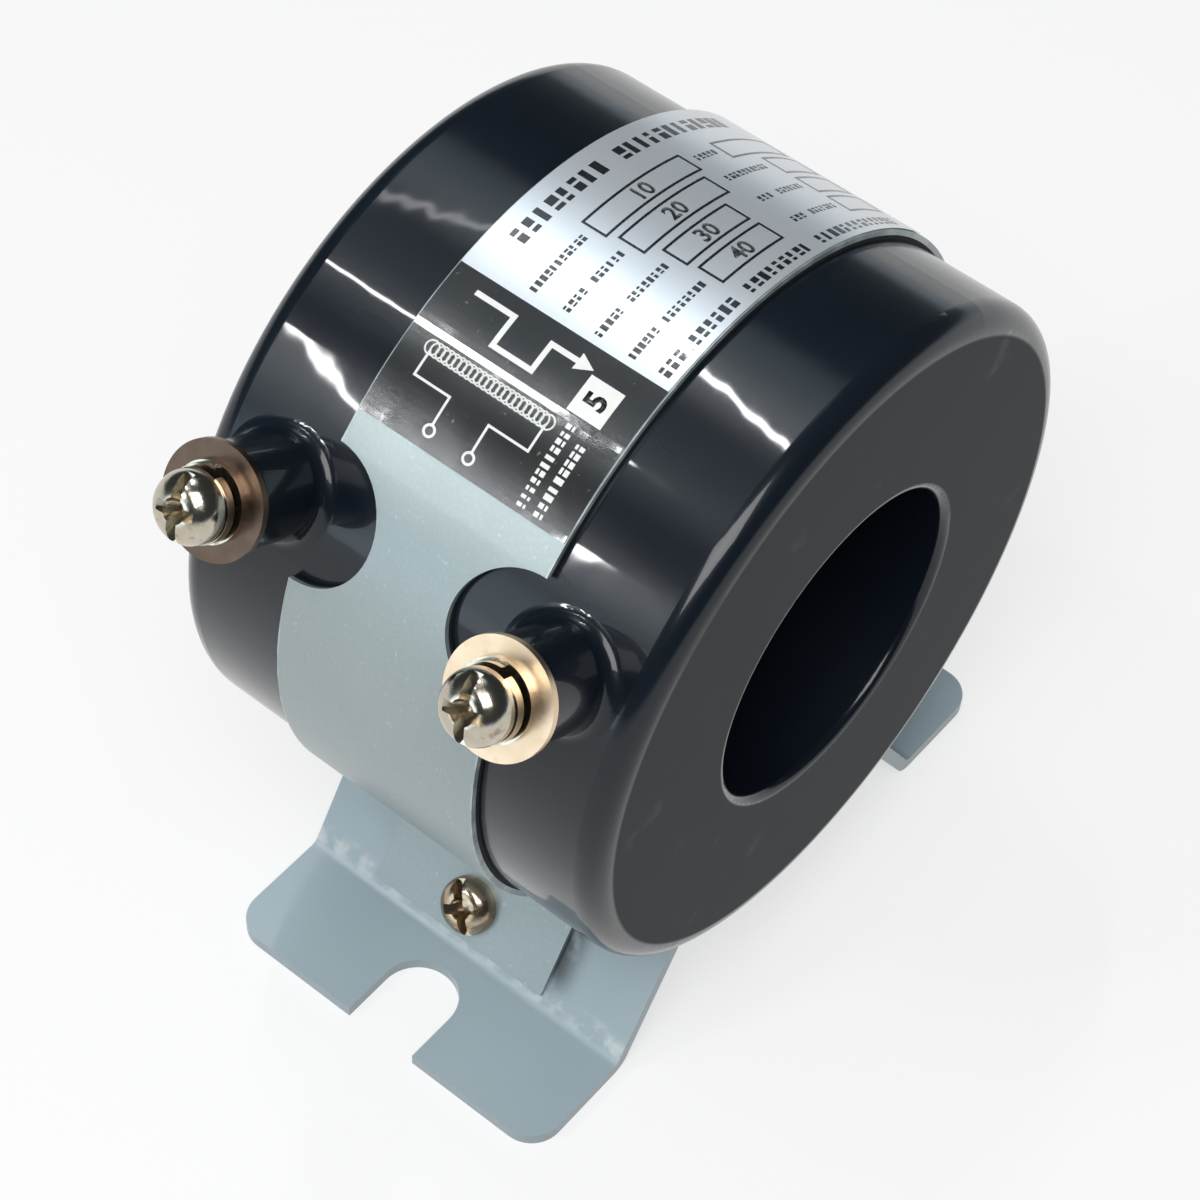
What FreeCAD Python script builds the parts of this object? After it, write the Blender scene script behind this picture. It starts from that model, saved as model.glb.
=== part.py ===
import FreeCAD, Part
import math
import os

import Sketcher

# Ring current transformer with a conductor window, in millimetres.
# The origin is the centre of the window. The window runs along Y, +Z is up and the terminals
# look towards -X and up. The part stands on the saddle bracket.

DRIVING_SIZES = [
    # housing
    ("housing_dia", 100.0),
    ("housing_width", 71.0),
    ("window_dia", 47.0),
    ("housing_wall", 2.5),
    ("rim_round", 3.5),
    ("window_round", 1.2),
    ("lap_depth", 3.0),
    ("lap_clearance", 0.05),
    # terminal bosses
    ("boss_dia", 14.0),
    ("boss_height", 12.5),
    ("boss_inset", 12.7),
    ("boss_elevation", 31.0),
    ("boss_root_round", 2.0),
    ("boss_top_round", 1.2),
    # brass inserts
    ("insert_dia", 8.0),
    ("insert_flange_dia", 10.0),
    ("insert_flange_thickness", 1.5),
    ("insert_thread_depth", 12.0),
    # terminal screws and washers
    ("terminal_thread_dia", 5.0),
    ("terminal_thread_clearance", 0.1),
    ("terminal_shank_length", 12.0),
    ("terminal_head_dia", 9.6),
    ("terminal_head_height", 4.0),
    ("terminal_head_crown", 3.1),
    ("terminal_slot_depth", 2.1),
    ("terminal_cross_depth", 3.0),
    ("washer_clearance", 0.15),
    ("lug_washer_dia", 15.6),
    ("lug_washer_thickness", 1.0),
    ("plain_washer_dia", 10.6),
    ("plain_washer_thickness", 1.0),
    ("spring_washer_dia", 10.0),
    ("spring_washer_thickness", 1.3),
    ("spring_washer_lift", 1.2),
    ("spring_washer_turns", 0.95),
    ("screw_point", 0.5),
    ("driver_slot", 1.4),
    ("cross_recess", 1.5),
    ("cross_mouth_radius", 3.0),
    ("cross_floor_radius", 0.9),
    ("cross_well_radius", 1.7),
    ("front_driver_turn", 12.0),
    ("rear_driver_turn", 10.0),
    # core, winding and resin
    ("space_inside_winding", 1.8),
    ("space_outside_winding", 4.3),
    ("space_beside_winding", 7.0),
    ("core_clearance", 0.2),
    ("core_case_wall", 1.0),
    ("winding_build", 2.0),
    ("winding_round", 1.2),
    ("winding_bundles", 18.0),
    ("bundle_gap", 1.2),
    ("sleeve_thickness", 0.5),
    ("sleeve_inset", 2.0),
    ("resin_shrinkage", 0.05),
    # leads
    ("lead_dia", 1.2),
    ("lead_clearance", 0.3),
    ("lead_bend", 1.0),
    ("lead_overhang", 3.2),
    ("lead_end_depth", 4.7),
    # strap, liner and label
    ("liner_thickness", 0.6),
    ("strap_thickness", 0.8),
    ("strap_width", 33.0),
    ("strap_bend", 0.8),
    ("notch_radius", 10.0),
    ("ear_width", 31.5),
    ("ear_end", 2.0),
    ("label_thickness", 0.15),
    ("label_adhesive", 0.1),
    ("label_width", 32.6),
    ("label_low_angle", 132.5),
    ("label_span", 90.0),
    # saddle bracket
    ("centre_height", 69.5),
    ("bracket_thickness", 2.0),
    ("bracket_width", 58.0),
    ("bracket_length", 106.0),
    ("bracket_bend", 1.5),
    ("bracket_shift", -1.5),
    ("bend_spacing", 70.0),
    ("wall_slope", 58.0),
    ("foot_corner", 5.0),
    ("slot_spacing", 90.0),
    ("slot_width", 12.0),
    # ear screws and nuts
    ("ear_thread_dia", 4.0),
    ("ear_thread_clearance", 0.05),
    ("ear_hole_clearance", 0.25),
    ("ear_shank_length", 8.0),
    ("ear_head_dia", 8.8),
    ("ear_head_height", 2.9),
    ("ear_head_crown", 2.3),
    ("ear_slot_depth", 1.5),
    ("ear_cross_depth", 2.2),
    ("ear_driver_turn", 33.0),
    ("ear_screw_place", 7.6),
    ("nut_across_flats", 7.0),
    ("nut_thickness", 3.2),
]

# Angles in degrees, and counts that the sheet doesn't change.
RIGHT_ANGLE = 90
HALF_TURN = 180
FULL_TURN = 360
HEXAGON_SIDES = 6
EDGE_SAMPLES = 7
# How a sketch numbers the points of a line, an arc or a circle, and its own two axes.
START, END, CENTRE = 1, 2, 3
ACROSS, UPRIGHT = -1, -2
# Two lengths in millimetres, or two volumes in cubic millimetres, are the same within this.
TOLERANCE = 1e-3
NO_LENGTH = 1e-9

doc = FreeCAD.newDocument("CurrentTransformer")
sheet = doc.addObject("Spreadsheet::Sheet", "Sizes")
for row, (alias, number) in enumerate(DRIVING_SIZES, start=1):
    sheet.set(f"A{row}", alias)
    sheet.set(f"B{row}", str(number))
    sheet.setAlias(f"B{row}", alias)
doc.recompute()


class Size:
    """A dimension that carries its spreadsheet expression together with its present value."""

    def __init__(self, text, value):
        self.text = text
        self.value = float(value)

    def _joined(self, sign, other, value):
        return Size(f"({self.text} {sign} {other.text})", value)

    def __add__(self, other):
        other = as_size(other)
        return self._joined("+", other, self.value + other.value)

    def __sub__(self, other):
        other = as_size(other)
        return self._joined("-", other, self.value - other.value)

    def __mul__(self, other):
        other = as_size(other)
        return self._joined("*", other, self.value * other.value)

    def __truediv__(self, other):
        other = as_size(other)
        return self._joined("/", other, self.value / other.value)

    def __neg__(self):
        return Size(f"(0 - {self.text})", -self.value)

    def __radd__(self, other):
        return as_size(other) + self

    def __rsub__(self, other):
        return as_size(other) - self

    def __rmul__(self, other):
        return as_size(other) * self

    def __rtruediv__(self, other):
        return as_size(other) / self


def as_size(number):
    return number if isinstance(number, Size) else Size(repr(float(number)), number)


def root(size):
    return Size(f"sqrt({size.text})", math.sqrt(size.value))


def cosine(degrees):
    return Size(f"cos({degrees.text} * 1deg)", math.cos(math.radians(degrees.value)))


def sine(degrees):
    return Size(f"sin({degrees.text} * 1deg)", math.sin(math.radians(degrees.value)))


class Sizes:
    """Every cell of the sheet as a Size, by its alias."""


for alias, number in DRIVING_SIZES:
    setattr(Sizes, alias, Size(f"Sizes.{alias}", number))

ZERO = Size("0", 0)
CROSS_ARMS = Size("4", 4)
housing_radius = Sizes.housing_dia / 2
window_radius = Sizes.window_dia / 2
half_width = Sizes.housing_width / 2
inner_wall_radius = housing_radius - Sizes.housing_wall
tube_radius = window_radius + Sizes.housing_wall
boss_top = housing_radius + Sizes.boss_height
boss_offset = half_width - Sizes.boss_inset
insert_radius = Sizes.insert_dia / 2
flange_radius = Sizes.insert_flange_dia / 2
# The flange's rim just reaches the curved inner wall, so its flat seat lies a little below the wall's crown.
flange_seat = root(inner_wall_radius * inner_wall_radius - flange_radius * flange_radius)
insert_bottom = flange_seat - Sizes.insert_flange_thickness
# From the housing inwards: resin space, winding, core case, core.
winding_inner_radius = tube_radius + Sizes.space_inside_winding
winding_outer_radius = inner_wall_radius - Sizes.space_outside_winding
winding_half_length = half_width - Sizes.housing_wall - Sizes.space_beside_winding
case_inner_radius = winding_inner_radius + Sizes.winding_build
case_outer_radius = winding_outer_radius - Sizes.winding_build
case_half_length = winding_half_length - Sizes.winding_build
core_half_length = case_half_length - Sizes.core_case_wall
sleeve_radius = winding_outer_radius + Sizes.sleeve_thickness
liner_radius = housing_radius + Sizes.liner_thickness
strap_radius = liner_radius + Sizes.strap_thickness
cradle_radius = liner_radius + Sizes.bracket_thickness
foot_top = Sizes.bracket_thickness - Sizes.centre_height
bend_x = Sizes.bend_spacing / 2
terminal_turn = Sizes.boss_elevation - RIGHT_ANGLE


def bind(feature, prop, size):
    feature.setExpression(prop, size.text)


def new_body(label):
    body = doc.addObject("PartDesign::Body", label)
    body.Label = label
    return body


def origin_item(body, role):
    return next(item for item in body.Origin.OriginFeatures if item.Role == role)


def place_body(body, turn, move_x=ZERO, move_y=ZERO, move_z=ZERO):
    """Turns a body about Y by an angle in degrees and moves it."""
    body.Placement = FreeCAD.Placement(
        FreeCAD.Vector(move_x.value, move_y.value, move_z.value),
        FreeCAD.Rotation(FreeCAD.Vector(0, 1, 0), turn.value),
    )
    bind(body, "Placement.Rotation.Angle", turn)
    bind(body, "Placement.Base.x", move_x)
    bind(body, "Placement.Base.y", move_y)
    bind(body, "Placement.Base.z", move_z)


def new_sketch(body, role, name, move=(ZERO, ZERO, ZERO), turn_axis=(0, 1, 0), turn=None):
    """A sketch on an origin plane of its body, moved and turned in that plane's own frame."""
    sketch = body.newObject("Sketcher::SketchObject", name)
    sketch.AttachmentSupport = [(origin_item(body, role), "")]
    sketch.MapMode = "FlatFace"
    angle = turn.value if turn else 0
    sketch.AttachmentOffset = FreeCAD.Placement(
        FreeCAD.Vector(*[step.value for step in move]),
        FreeCAD.Rotation(FreeCAD.Vector(*turn_axis), angle),
    )
    for letter, step in zip("xyz", move):
        if step is not ZERO:
            bind(sketch, f"AttachmentOffset.Base.{letter}", step)
    if turn:
        bind(sketch, "AttachmentOffset.Rotation.Angle", turn)
    return sketch


def fix_coordinate(sketch, kind, axis_index, geometry, position, size):
    """Holds one coordinate of a point at a size, or on the axis where the size is zero."""
    if abs(size.value) < NO_LENGTH:
        sketch.addConstraint(Sketcher.Constraint("PointOnObject", geometry, position, axis_index))
        return
    constraint = Sketcher.Constraint(kind, ACROSS, START, geometry, position, size.value)
    index = sketch.addConstraint(constraint)
    bind(sketch, f"Constraints[{index}]", size)


def fix_point(sketch, geometry, position, x_size, y_size):
    fix_coordinate(sketch, "DistanceX", UPRIGHT, geometry, position, x_size)
    fix_coordinate(sketch, "DistanceY", ACROSS, geometry, position, y_size)


def draw_outline(sketch, corners, arcs=()):
    """Closed outline through the corners. arcs names the edges, by first corner, that are arcs
    about the sketch's origin: 1 runs counter-clockwise and -1 clockwise."""
    arcs = dict(arcs)
    count = len(corners)
    points = [FreeCAD.Vector(x.value, y.value, 0) for x, y in corners]
    ends = []
    for i in range(count):
        start, end = points[i], points[(i + 1) % count]
        if i not in arcs:
            geometry = sketch.addGeometry(Part.LineSegment(start, end), False)
            ends.append((geometry, START, END))
            continue
        if arcs[i] < 0:
            start, end = end, start
        circle = Part.Circle(FreeCAD.Vector(), FreeCAD.Vector(0, 0, 1), start.Length)
        first, last = (math.atan2(p.y, p.x) for p in (start, end))
        geometry = sketch.addGeometry(Part.ArcOfCircle(circle, first, last), False)
        sketch.addConstraint(Sketcher.Constraint("Coincident", geometry, CENTRE, ACROSS, START))
        ends.append((geometry, START, END) if arcs[i] > 0 else (geometry, END, START))
    for i in range(count):
        following = ends[(i + 1) % count]
        joined = Sketcher.Constraint("Coincident", ends[i][0], ends[i][2], following[0], following[1])
        sketch.addConstraint(joined)
    for i, (x_size, y_size) in enumerate(corners):
        geometry, position, _ = ends[i]
        fix_coordinate(sketch, "DistanceX", UPRIGHT, geometry, position, x_size)
        # An arc's far end needs one coordinate only: its radius gives the other.
        if (i - 1) % count not in arcs:
            fix_coordinate(sketch, "DistanceY", ACROSS, geometry, position, y_size)


def draw_circle(sketch, radius, x_size=ZERO, y_size=ZERO):
    centre = FreeCAD.Vector(x_size.value, y_size.value, 0)
    circle = Part.Circle(centre, FreeCAD.Vector(0, 0, 1), radius.value)
    geometry = sketch.addGeometry(circle, False)
    index = sketch.addConstraint(Sketcher.Constraint("Radius", geometry, radius.value))
    bind(sketch, f"Constraints[{index}]", radius)
    fix_point(sketch, geometry, CENTRE, x_size, y_size)


def rectangle(x_low, x_high, y_low, y_high):
    return [(x_low, y_low), (x_high, y_low), (x_high, y_high), (x_low, y_high)]


def revolve(body, sketch, name, kind="PartDesign::Revolution"):
    feature = body.newObject(kind, name)
    feature.Profile = sketch
    feature.ReferenceAxis = (sketch, ["V_Axis"])
    feature.Angle = FULL_TURN
    doc.recompute()
    return feature


def extrude(body, sketch, name, length, kind="PartDesign::Pad", both_ways=False, reverse=False):
    """A pad or a pocket. A pocket is checked to have taken material away."""
    before = body.Shape.Volume if kind == "PartDesign::Pocket" else None
    feature = body.newObject(kind, name)
    feature.Profile = sketch
    feature.Length = length.value
    bind(feature, "Length", length)
    if both_ways:
        feature.SideType = "Symmetric"
    feature.Reversed = reverse
    doc.recompute()
    if before is not None and feature.Shape.Volume > before - TOLERANCE:
        raise RuntimeError(f"{body.Label}: {name} cuts nothing")
    return feature


def cut(body, sketch, name, length, both_ways=False, reverse=False):
    return extrude(body, sketch, name, length, "PartDesign::Pocket", both_ways, reverse)


def edges_where(feature, test):
    """Names of the edges whose points all pass the test."""
    names = []
    for index, edge in enumerate(feature.Shape.Edges, start=1):
        if all(test(point) for point in edge.discretize(EDGE_SAMPLES)):
            names.append(f"Edge{index}")
    if not names:
        raise RuntimeError(f"{feature.Label}: no such edge")
    return names


def fillet(body, name, radius, test):
    base = body.Tip
    feature = body.newObject("PartDesign::Fillet", name)
    feature.Base = (base, edges_where(base, test))
    feature.Radius = radius.value
    bind(feature, "Radius", radius)
    doc.recompute()
    return feature


def near(first, second):
    return abs(first - second) < TOLERANCE


def polar_copies(body, feature, name, axis_role, count):
    """Copies of a feature spread evenly round an origin axis."""
    pattern = body.newObject("PartDesign::PolarPattern", name)
    pattern.Originals = [feature]
    pattern.Axis = (origin_item(body, axis_role), [""])
    pattern.Angle = FULL_TURN
    pattern.Occurrences = int(count.value)
    bind(pattern, "Occurrences", count)
    body.Tip = pattern
    doc.recompute()


def ring_body(label, corners, turn=None):
    """A ring turned about Y from its half section, given as radius and Y."""
    body = new_body(label)
    section = new_sketch(body, "XY_Plane", label + "_section")
    draw_outline(section, corners)
    revolve(body, section, label + "_ring")
    if turn:
        place_body(body, turn)
    return body


# Housing

def make_half_shell(label, side, tongue):
    """Half of the housing, open towards the other half. Its local +Z is the terminal's axis."""
    body = new_body(label)
    face = side * half_width
    floor = side * (half_width - Sizes.housing_wall)
    lap_radius = housing_radius - Sizes.housing_wall / 2
    lap_reach = -side * Sizes.lap_depth
    if not tongue:
        lap_radius = lap_radius + Sizes.lap_clearance
        lap_reach = side * (Sizes.lap_depth + Sizes.lap_clearance)
    section = new_sketch(body, "XY_Plane", label + "_section")
    draw_outline(section, [
        (window_radius, ZERO),
        (window_radius, face),
        (housing_radius, face),
        (housing_radius, ZERO),
        (lap_radius, ZERO),
        (lap_radius, lap_reach),
        (inner_wall_radius, lap_reach),
        (inner_wall_radius, floor),
        (tube_radius, floor),
        (tube_radius, ZERO),
    ])
    revolve(body, section, label + "_wall")

    def on_face_at(radius):
        return lambda p: near(p.y, face.value) and near(math.hypot(p.x, p.z), radius.value)

    fillet(body, label + "_rim", Sizes.rim_round, on_face_at(housing_radius))
    fillet(body, label + "_window_rim", Sizes.window_round, on_face_at(window_radius))

    boss_y = side * boss_offset
    boss_sketch = new_sketch(body, "XY_Plane", label + "_boss_circle", (ZERO, ZERO, boss_top))
    draw_circle(boss_sketch, Sizes.boss_dia / 2, ZERO, boss_y)
    extrude(body, boss_sketch, label + "_boss", boss_top - flange_seat, reverse=True)

    def on_boss(point):
        return near(math.hypot(point.x, point.y - boss_y.value), Sizes.boss_dia.value / 2)

    fillet(body, label + "_boss_root", Sizes.boss_root_round,
           lambda p: on_boss(p) and near(math.hypot(p.x, p.z), housing_radius.value))
    fillet(body, label + "_boss_top", Sizes.boss_top_round,
           lambda p: on_boss(p) and near(p.z, boss_top.value))

    hole = new_sketch(body, "XY_Plane", label + "_insert_circle", (ZERO, ZERO, boss_top))
    draw_circle(hole, insert_radius, ZERO, boss_y)
    cut(body, hole, label + "_insert_hole", boss_top - insert_bottom)
    place_body(body, terminal_turn)
    return body


# Inner parts

def make_core():
    wall_and_gap = Sizes.core_case_wall + Sizes.core_clearance
    ring_body("wound_core", rectangle(
        case_inner_radius + wall_and_gap, case_outer_radius - wall_and_gap,
        -core_half_length, core_half_length))


def make_core_case():
    trough_inner = case_inner_radius + Sizes.core_case_wall
    trough_outer = case_outer_radius - Sizes.core_case_wall
    ring_body("core_case_base", [
        (case_inner_radius, -case_half_length),
        (case_outer_radius, -case_half_length),
        (case_outer_radius, core_half_length),
        (trough_outer, core_half_length),
        (trough_outer, -core_half_length),
        (trough_inner, -core_half_length),
        (trough_inner, core_half_length),
        (case_inner_radius, core_half_length),
    ])
    ring_body("core_case_lid", rectangle(
        case_inner_radius, case_outer_radius, core_half_length, case_half_length))


def make_winding():
    """Wire bundles round the cased core: close together in the window, apart at the outside."""
    label = "secondary_winding"
    body = new_body(label)
    section = new_sketch(body, "XY_Plane", label + "_section")
    draw_outline(section, rectangle(
        winding_inner_radius, winding_outer_radius, -winding_half_length, winding_half_length))
    revolve(body, section, label + "_ring")
    fillet(body, label + "_turns", Sizes.winding_round,
           lambda p: near(abs(p.y), winding_half_length.value))

    inside = new_sketch(body, "XY_Plane", label + "_inside")
    draw_outline(inside, rectangle(
        case_inner_radius, case_outer_radius, -case_half_length, case_half_length))
    revolve(body, inside, label + "_core_space", "PartDesign::Groove")

    half_gap = Sizes.bundle_gap / 2
    gap = new_sketch(body, "XZ_Plane", label + "_gap_outline",
                     turn_axis=(0, 0, 1), turn=HALF_TURN / Sizes.winding_bundles)
    draw_outline(gap, rectangle(
        -half_gap, half_gap, case_inner_radius + Sizes.bundle_gap, winding_outer_radius + Sizes.bundle_gap))
    first_gap = cut(body, gap, label + "_gap", Sizes.housing_width, both_ways=True)
    polar_copies(body, first_gap, label + "_gaps", "Y_Axis", Sizes.winding_bundles)
    place_body(body, terminal_turn)


def make_sleeve():
    half_length = winding_half_length - Sizes.sleeve_inset
    ring_body("winding_sleeve", rectangle(
        winding_outer_radius, sleeve_radius, -half_length, half_length))


def make_insert(label, side):
    """Flanged brass insert with a blind thread, pressed in from inside the shell."""
    body = new_body(label)
    thread_radius = Sizes.terminal_thread_dia / 2
    thread_end = boss_top - Sizes.insert_thread_depth
    section = new_sketch(body, "XZ_Plane", label + "_section")
    draw_outline(section, [
        (ZERO, insert_bottom),
        (flange_radius, insert_bottom),
        (flange_radius, flange_seat),
        (insert_radius, flange_seat),
        (insert_radius, boss_top),
        (thread_radius, boss_top),
        (thread_radius, thread_end),
        (ZERO, thread_end),
    ])
    revolve(body, section, label + "_turned")
    place_body(body, terminal_turn, move_y=side * boss_offset)
    return body


def make_lead(label, side):
    """Wire from the insert over the sleeve's edge and down to the winding's end face."""
    body = new_body(label)
    bend = Sizes.lead_bend
    lead_radius = Sizes.lead_dia / 2
    run_height = sleeve_radius + Sizes.lead_clearance + lead_radius
    start_y = side * boss_offset
    outer_y = side * (winding_half_length + Sizes.lead_overhang)
    end_y = side * winding_half_length
    end_height = winding_outer_radius - Sizes.lead_end_depth
    route = [
        (start_y, insert_bottom),
        (start_y, run_height),
        (outer_y, run_height),
        (outer_y, end_height),
        (end_y, end_height),
    ]
    path = new_sketch(body, "YZ_Plane", label + "_path")
    draw_rounded_path(path, route, bend)
    profile = new_sketch(body, "XY_Plane", label + "_circle", (ZERO, ZERO, insert_bottom))
    draw_circle(profile, lead_radius, ZERO, start_y)
    doc.recompute()
    pipe = body.newObject("PartDesign::AdditivePipe", label + "_wire")
    pipe.Profile = profile
    pipe.Spine = (path, [])
    doc.recompute()
    place_body(body, terminal_turn)
    return body


def draw_rounded_path(sketch, route, bend):
    """Straight runs along the sketch's axes joined by quarter bends of one radius."""
    def step_towards(start, end):
        travels = [b.value - a.value for a, b in zip(start, end)]
        return [0 if abs(travel) < NO_LENGTH else int(math.copysign(1, travel)) for travel in travels]

    def moved(corner, steps):
        return tuple(c + bend * step if step else c for c, step in zip(corner, steps))

    def draw_run(start, end, joint=None):
        points = [FreeCAD.Vector(x.value, y.value, 0) for x, y in (start, end)]
        run = sketch.addGeometry(Part.LineSegment(*points), False)
        if joint:
            sketch.addConstraint(Sketcher.Constraint("Coincident", *joint, run, START))
            along = step_towards(start, end)
            # The bend's radius gives the other coordinate.
            if along[0]:
                fix_coordinate(sketch, "DistanceX", UPRIGHT, run, START, start[0])
            else:
                fix_coordinate(sketch, "DistanceY", ACROSS, run, START, start[1])
        else:
            fix_point(sketch, run, START, *start)
        fix_point(sketch, run, END, *end)
        return run

    run_start, joint = route[0], None
    for before, corner, after in zip(route, route[1:], route[2:]):
        back = [-step for step in step_towards(before, corner)]
        ahead = step_towards(corner, after)
        bend_start, bend_end = moved(corner, back), moved(corner, ahead)
        centre = moved(bend_start, ahead)
        run = draw_run(run_start, bend_start, joint)

        middle = FreeCAD.Vector(centre[0].value, centre[1].value, 0)
        angles = [math.atan2(-ahead[1], -ahead[0]), math.atan2(-back[1], -back[0])]
        turns_left = ahead[0] * back[1] - ahead[1] * back[0] > 0
        near_end, far_end = (START, END) if turns_left else (END, START)
        if not turns_left:
            angles.reverse()
        circle = Part.Circle(middle, FreeCAD.Vector(0, 0, 1), bend.value)
        arc = sketch.addGeometry(Part.ArcOfCircle(circle, *angles), False)
        sketch.addConstraint(Sketcher.Constraint("Coincident", run, END, arc, near_end))
        fix_point(sketch, arc, CENTRE, *centre)
        run_start, joint = bend_end, (arc, far_end)
    draw_run(run_start, route[-1], joint)


def make_resin(tools):
    """Potting resin: fills the shells round the winding, inserts and leads."""
    shrink = Sizes.resin_shrinkage
    half_length = half_width - Sizes.housing_wall - shrink
    fill = ring_body("resin_fill", rectangle(
        tube_radius + shrink, inner_wall_radius - shrink, -half_length, half_length))
    space = ring_body("winding_space", rectangle(
        winding_inner_radius, sleeve_radius, -winding_half_length, winding_half_length))
    taken = doc.addObject("Part::MultiFuse", "resin_spaces")
    taken.Shapes = [space] + tools
    resin = doc.addObject("Part::Cut", "potting_resin")
    resin.Label = "potting_resin"
    resin.Base = fill
    resin.Tool = taken
    doc.recompute()
    return resin


# Terminals

def make_washer(label, side, low, thickness, outer_dia):
    """A flat washer on the terminal's axis, with its lower face at the height low."""
    body = new_body(label)
    outline = new_sketch(body, "XY_Plane", label + "_circles", (ZERO, ZERO, low))
    draw_circle(outline, outer_dia / 2)
    draw_circle(outline, Sizes.terminal_thread_dia / 2 + Sizes.washer_clearance)
    extrude(body, outline, label + "_disc", thickness)
    place_body(body, terminal_turn, move_y=side * boss_offset)
    return low + thickness


def make_spring_washer(label, side, low):
    """A split spring washer, not pressed flat: nearly one turn of a helix."""
    body = new_body(label)
    section = new_sketch(body, "XZ_Plane", label + "_section")
    draw_outline(section, rectangle(
        Sizes.terminal_thread_dia / 2 + Sizes.washer_clearance, Sizes.spring_washer_dia / 2,
        low, low + Sizes.spring_washer_thickness))
    doc.recompute()
    helix = body.newObject("PartDesign::AdditiveHelix", label + "_turn")
    helix.Profile = section
    helix.ReferenceAxis = (section, ["V_Axis"])
    helix.Mode = "height-turns-angle"
    helix.Height = Sizes.spring_washer_lift.value
    bind(helix, "Height", Sizes.spring_washer_lift)
    helix.Turns = Sizes.spring_washer_turns.value
    bind(helix, "Turns", Sizes.spring_washer_turns)
    doc.recompute()
    place_body(body, terminal_turn, move_y=side * boss_offset)
    return low + Sizes.spring_washer_thickness + Sizes.spring_washer_lift


def make_pan_screw(label, use, seat, driver_turn):
    """Pan head screw for a flat or a cross driver, with the sizes of its use: terminal or ear.
    The head's underside is at the height seat."""
    def of_use(name):
        return getattr(Sizes, f"{use}_{name}")

    body = new_body(label)
    thread_radius = of_use("thread_dia") / 2 - of_use("thread_clearance")
    head_radius = of_use("head_dia") / 2
    head_top = seat + of_use("head_height")
    shank_end = seat - of_use("shank_length")
    point = Sizes.screw_point
    section = new_sketch(body, "XZ_Plane", label + "_section")
    draw_outline(section, [
        (ZERO, shank_end),
        (thread_radius - point, shank_end),
        (thread_radius, shank_end + point),
        (thread_radius, seat),
        (head_radius, seat),
        (head_radius, head_top),
        (ZERO, head_top),
    ])
    revolve(body, section, label + "_turned")
    fillet(body, label + "_crown", of_use("head_crown"),
           lambda p: near(p.z, head_top.value) and near(math.hypot(p.x, p.y), head_radius.value))

    slot_floor = head_top - of_use("slot_depth")
    cross_floor = head_top - of_use("cross_depth")
    above = head_top + Sizes.driver_slot
    past_rim = head_radius + Sizes.driver_slot
    slot_outline = new_sketch(body, "XZ_Plane", label + "_slot_outline", turn=driver_turn)
    draw_outline(slot_outline, rectangle(-past_rim, past_rim, slot_floor, above))
    cut(body, slot_outline, label + "_slot", Sizes.driver_slot, both_ways=True)

    arm_outline = new_sketch(body, "XZ_Plane", label + "_cross_outline", turn=driver_turn)
    draw_outline(arm_outline, [
        (ZERO, cross_floor),
        (Sizes.cross_floor_radius, cross_floor),
        (Sizes.cross_mouth_radius, head_top),
        (Sizes.cross_mouth_radius, above),
        (ZERO, above),
    ])
    arm = cut(body, arm_outline, label + "_cross_arm", Sizes.cross_recess, both_ways=True)
    polar_copies(body, arm, label + "_cross", "Z_Axis", CROSS_ARMS)

    well_section = new_sketch(body, "XZ_Plane", label + "_well_section")
    draw_outline(well_section, [
        (ZERO, cross_floor),
        (Sizes.cross_floor_radius, cross_floor),
        (Sizes.cross_well_radius, head_top),
        (ZERO, head_top),
    ])
    revolve(body, well_section, label + "_well", "PartDesign::Groove")
    return body


def make_terminal(name, side, driver_turn):
    """One terminal: brass insert, three washers and a pan head screw."""
    insert = make_insert(f"{name}_terminal_insert", side)
    height = make_washer(f"{name}_lug_washer", side, boss_top,
                         Sizes.lug_washer_thickness, Sizes.lug_washer_dia)
    height = make_washer(f"{name}_plain_washer", side, height,
                         Sizes.plain_washer_thickness, Sizes.plain_washer_dia)
    height = make_spring_washer(f"{name}_spring_washer", side, height)
    screw = make_pan_screw(f"{name}_terminal_screw", "terminal", height, driver_turn)
    place_body(screw, terminal_turn, move_y=side * boss_offset)
    return insert


# Strap, liner and label

def cut_notches(body, label):
    """Semicircular notches in both edges of a band, square to the terminals' axis,
    cut from the window's centre out to the boss tops."""
    notches = new_sketch(body, "XY_Plane", label + "_notch_circles", turn=terminal_turn)
    for side in (-1, 1):
        draw_circle(notches, Sizes.notch_radius, ZERO, side * (Sizes.strap_width / 2))
    cut(body, notches, label + "_notches", boss_top, reverse=True)


def make_liner():
    label = "strap_liner"
    body = new_body(label)
    outline = new_sketch(body, "XZ_Plane", label + "_circles")
    draw_circle(outline, liner_radius)
    draw_circle(outline, housing_radius)
    extrude(body, outline, label + "_band", Sizes.strap_width, both_ways=True)
    cut_notches(body, label)


def wall_line_at_radius(radius, offset):
    """Where the left bracket wall's outer plane, moved inwards by offset, meets a circle about the window."""
    run, rise = cosine(Sizes.wall_slope), sine(Sizes.wall_slope)
    start_x = rise * offset - bend_x
    start_z = foot_top - run * offset
    along = start_x * run + start_z * rise
    across = start_x * rise - start_z * run
    travel = -along - root(radius * radius - across * across)
    return start_x + run * travel, start_z + rise * travel


def wall_point(distance, offset):
    """A point of the left wall at a distance up its outer face from the bend, moved inwards by offset."""
    run, rise = cosine(Sizes.wall_slope), sine(Sizes.wall_slope)
    return run * distance - bend_x + rise * offset, foot_top + rise * distance - run * offset


def mirrored(corners):
    """The corners' mirror images across the YZ plane, in the opposite order."""
    return [(-x, z) for x, z in reversed(corners)]


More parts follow.
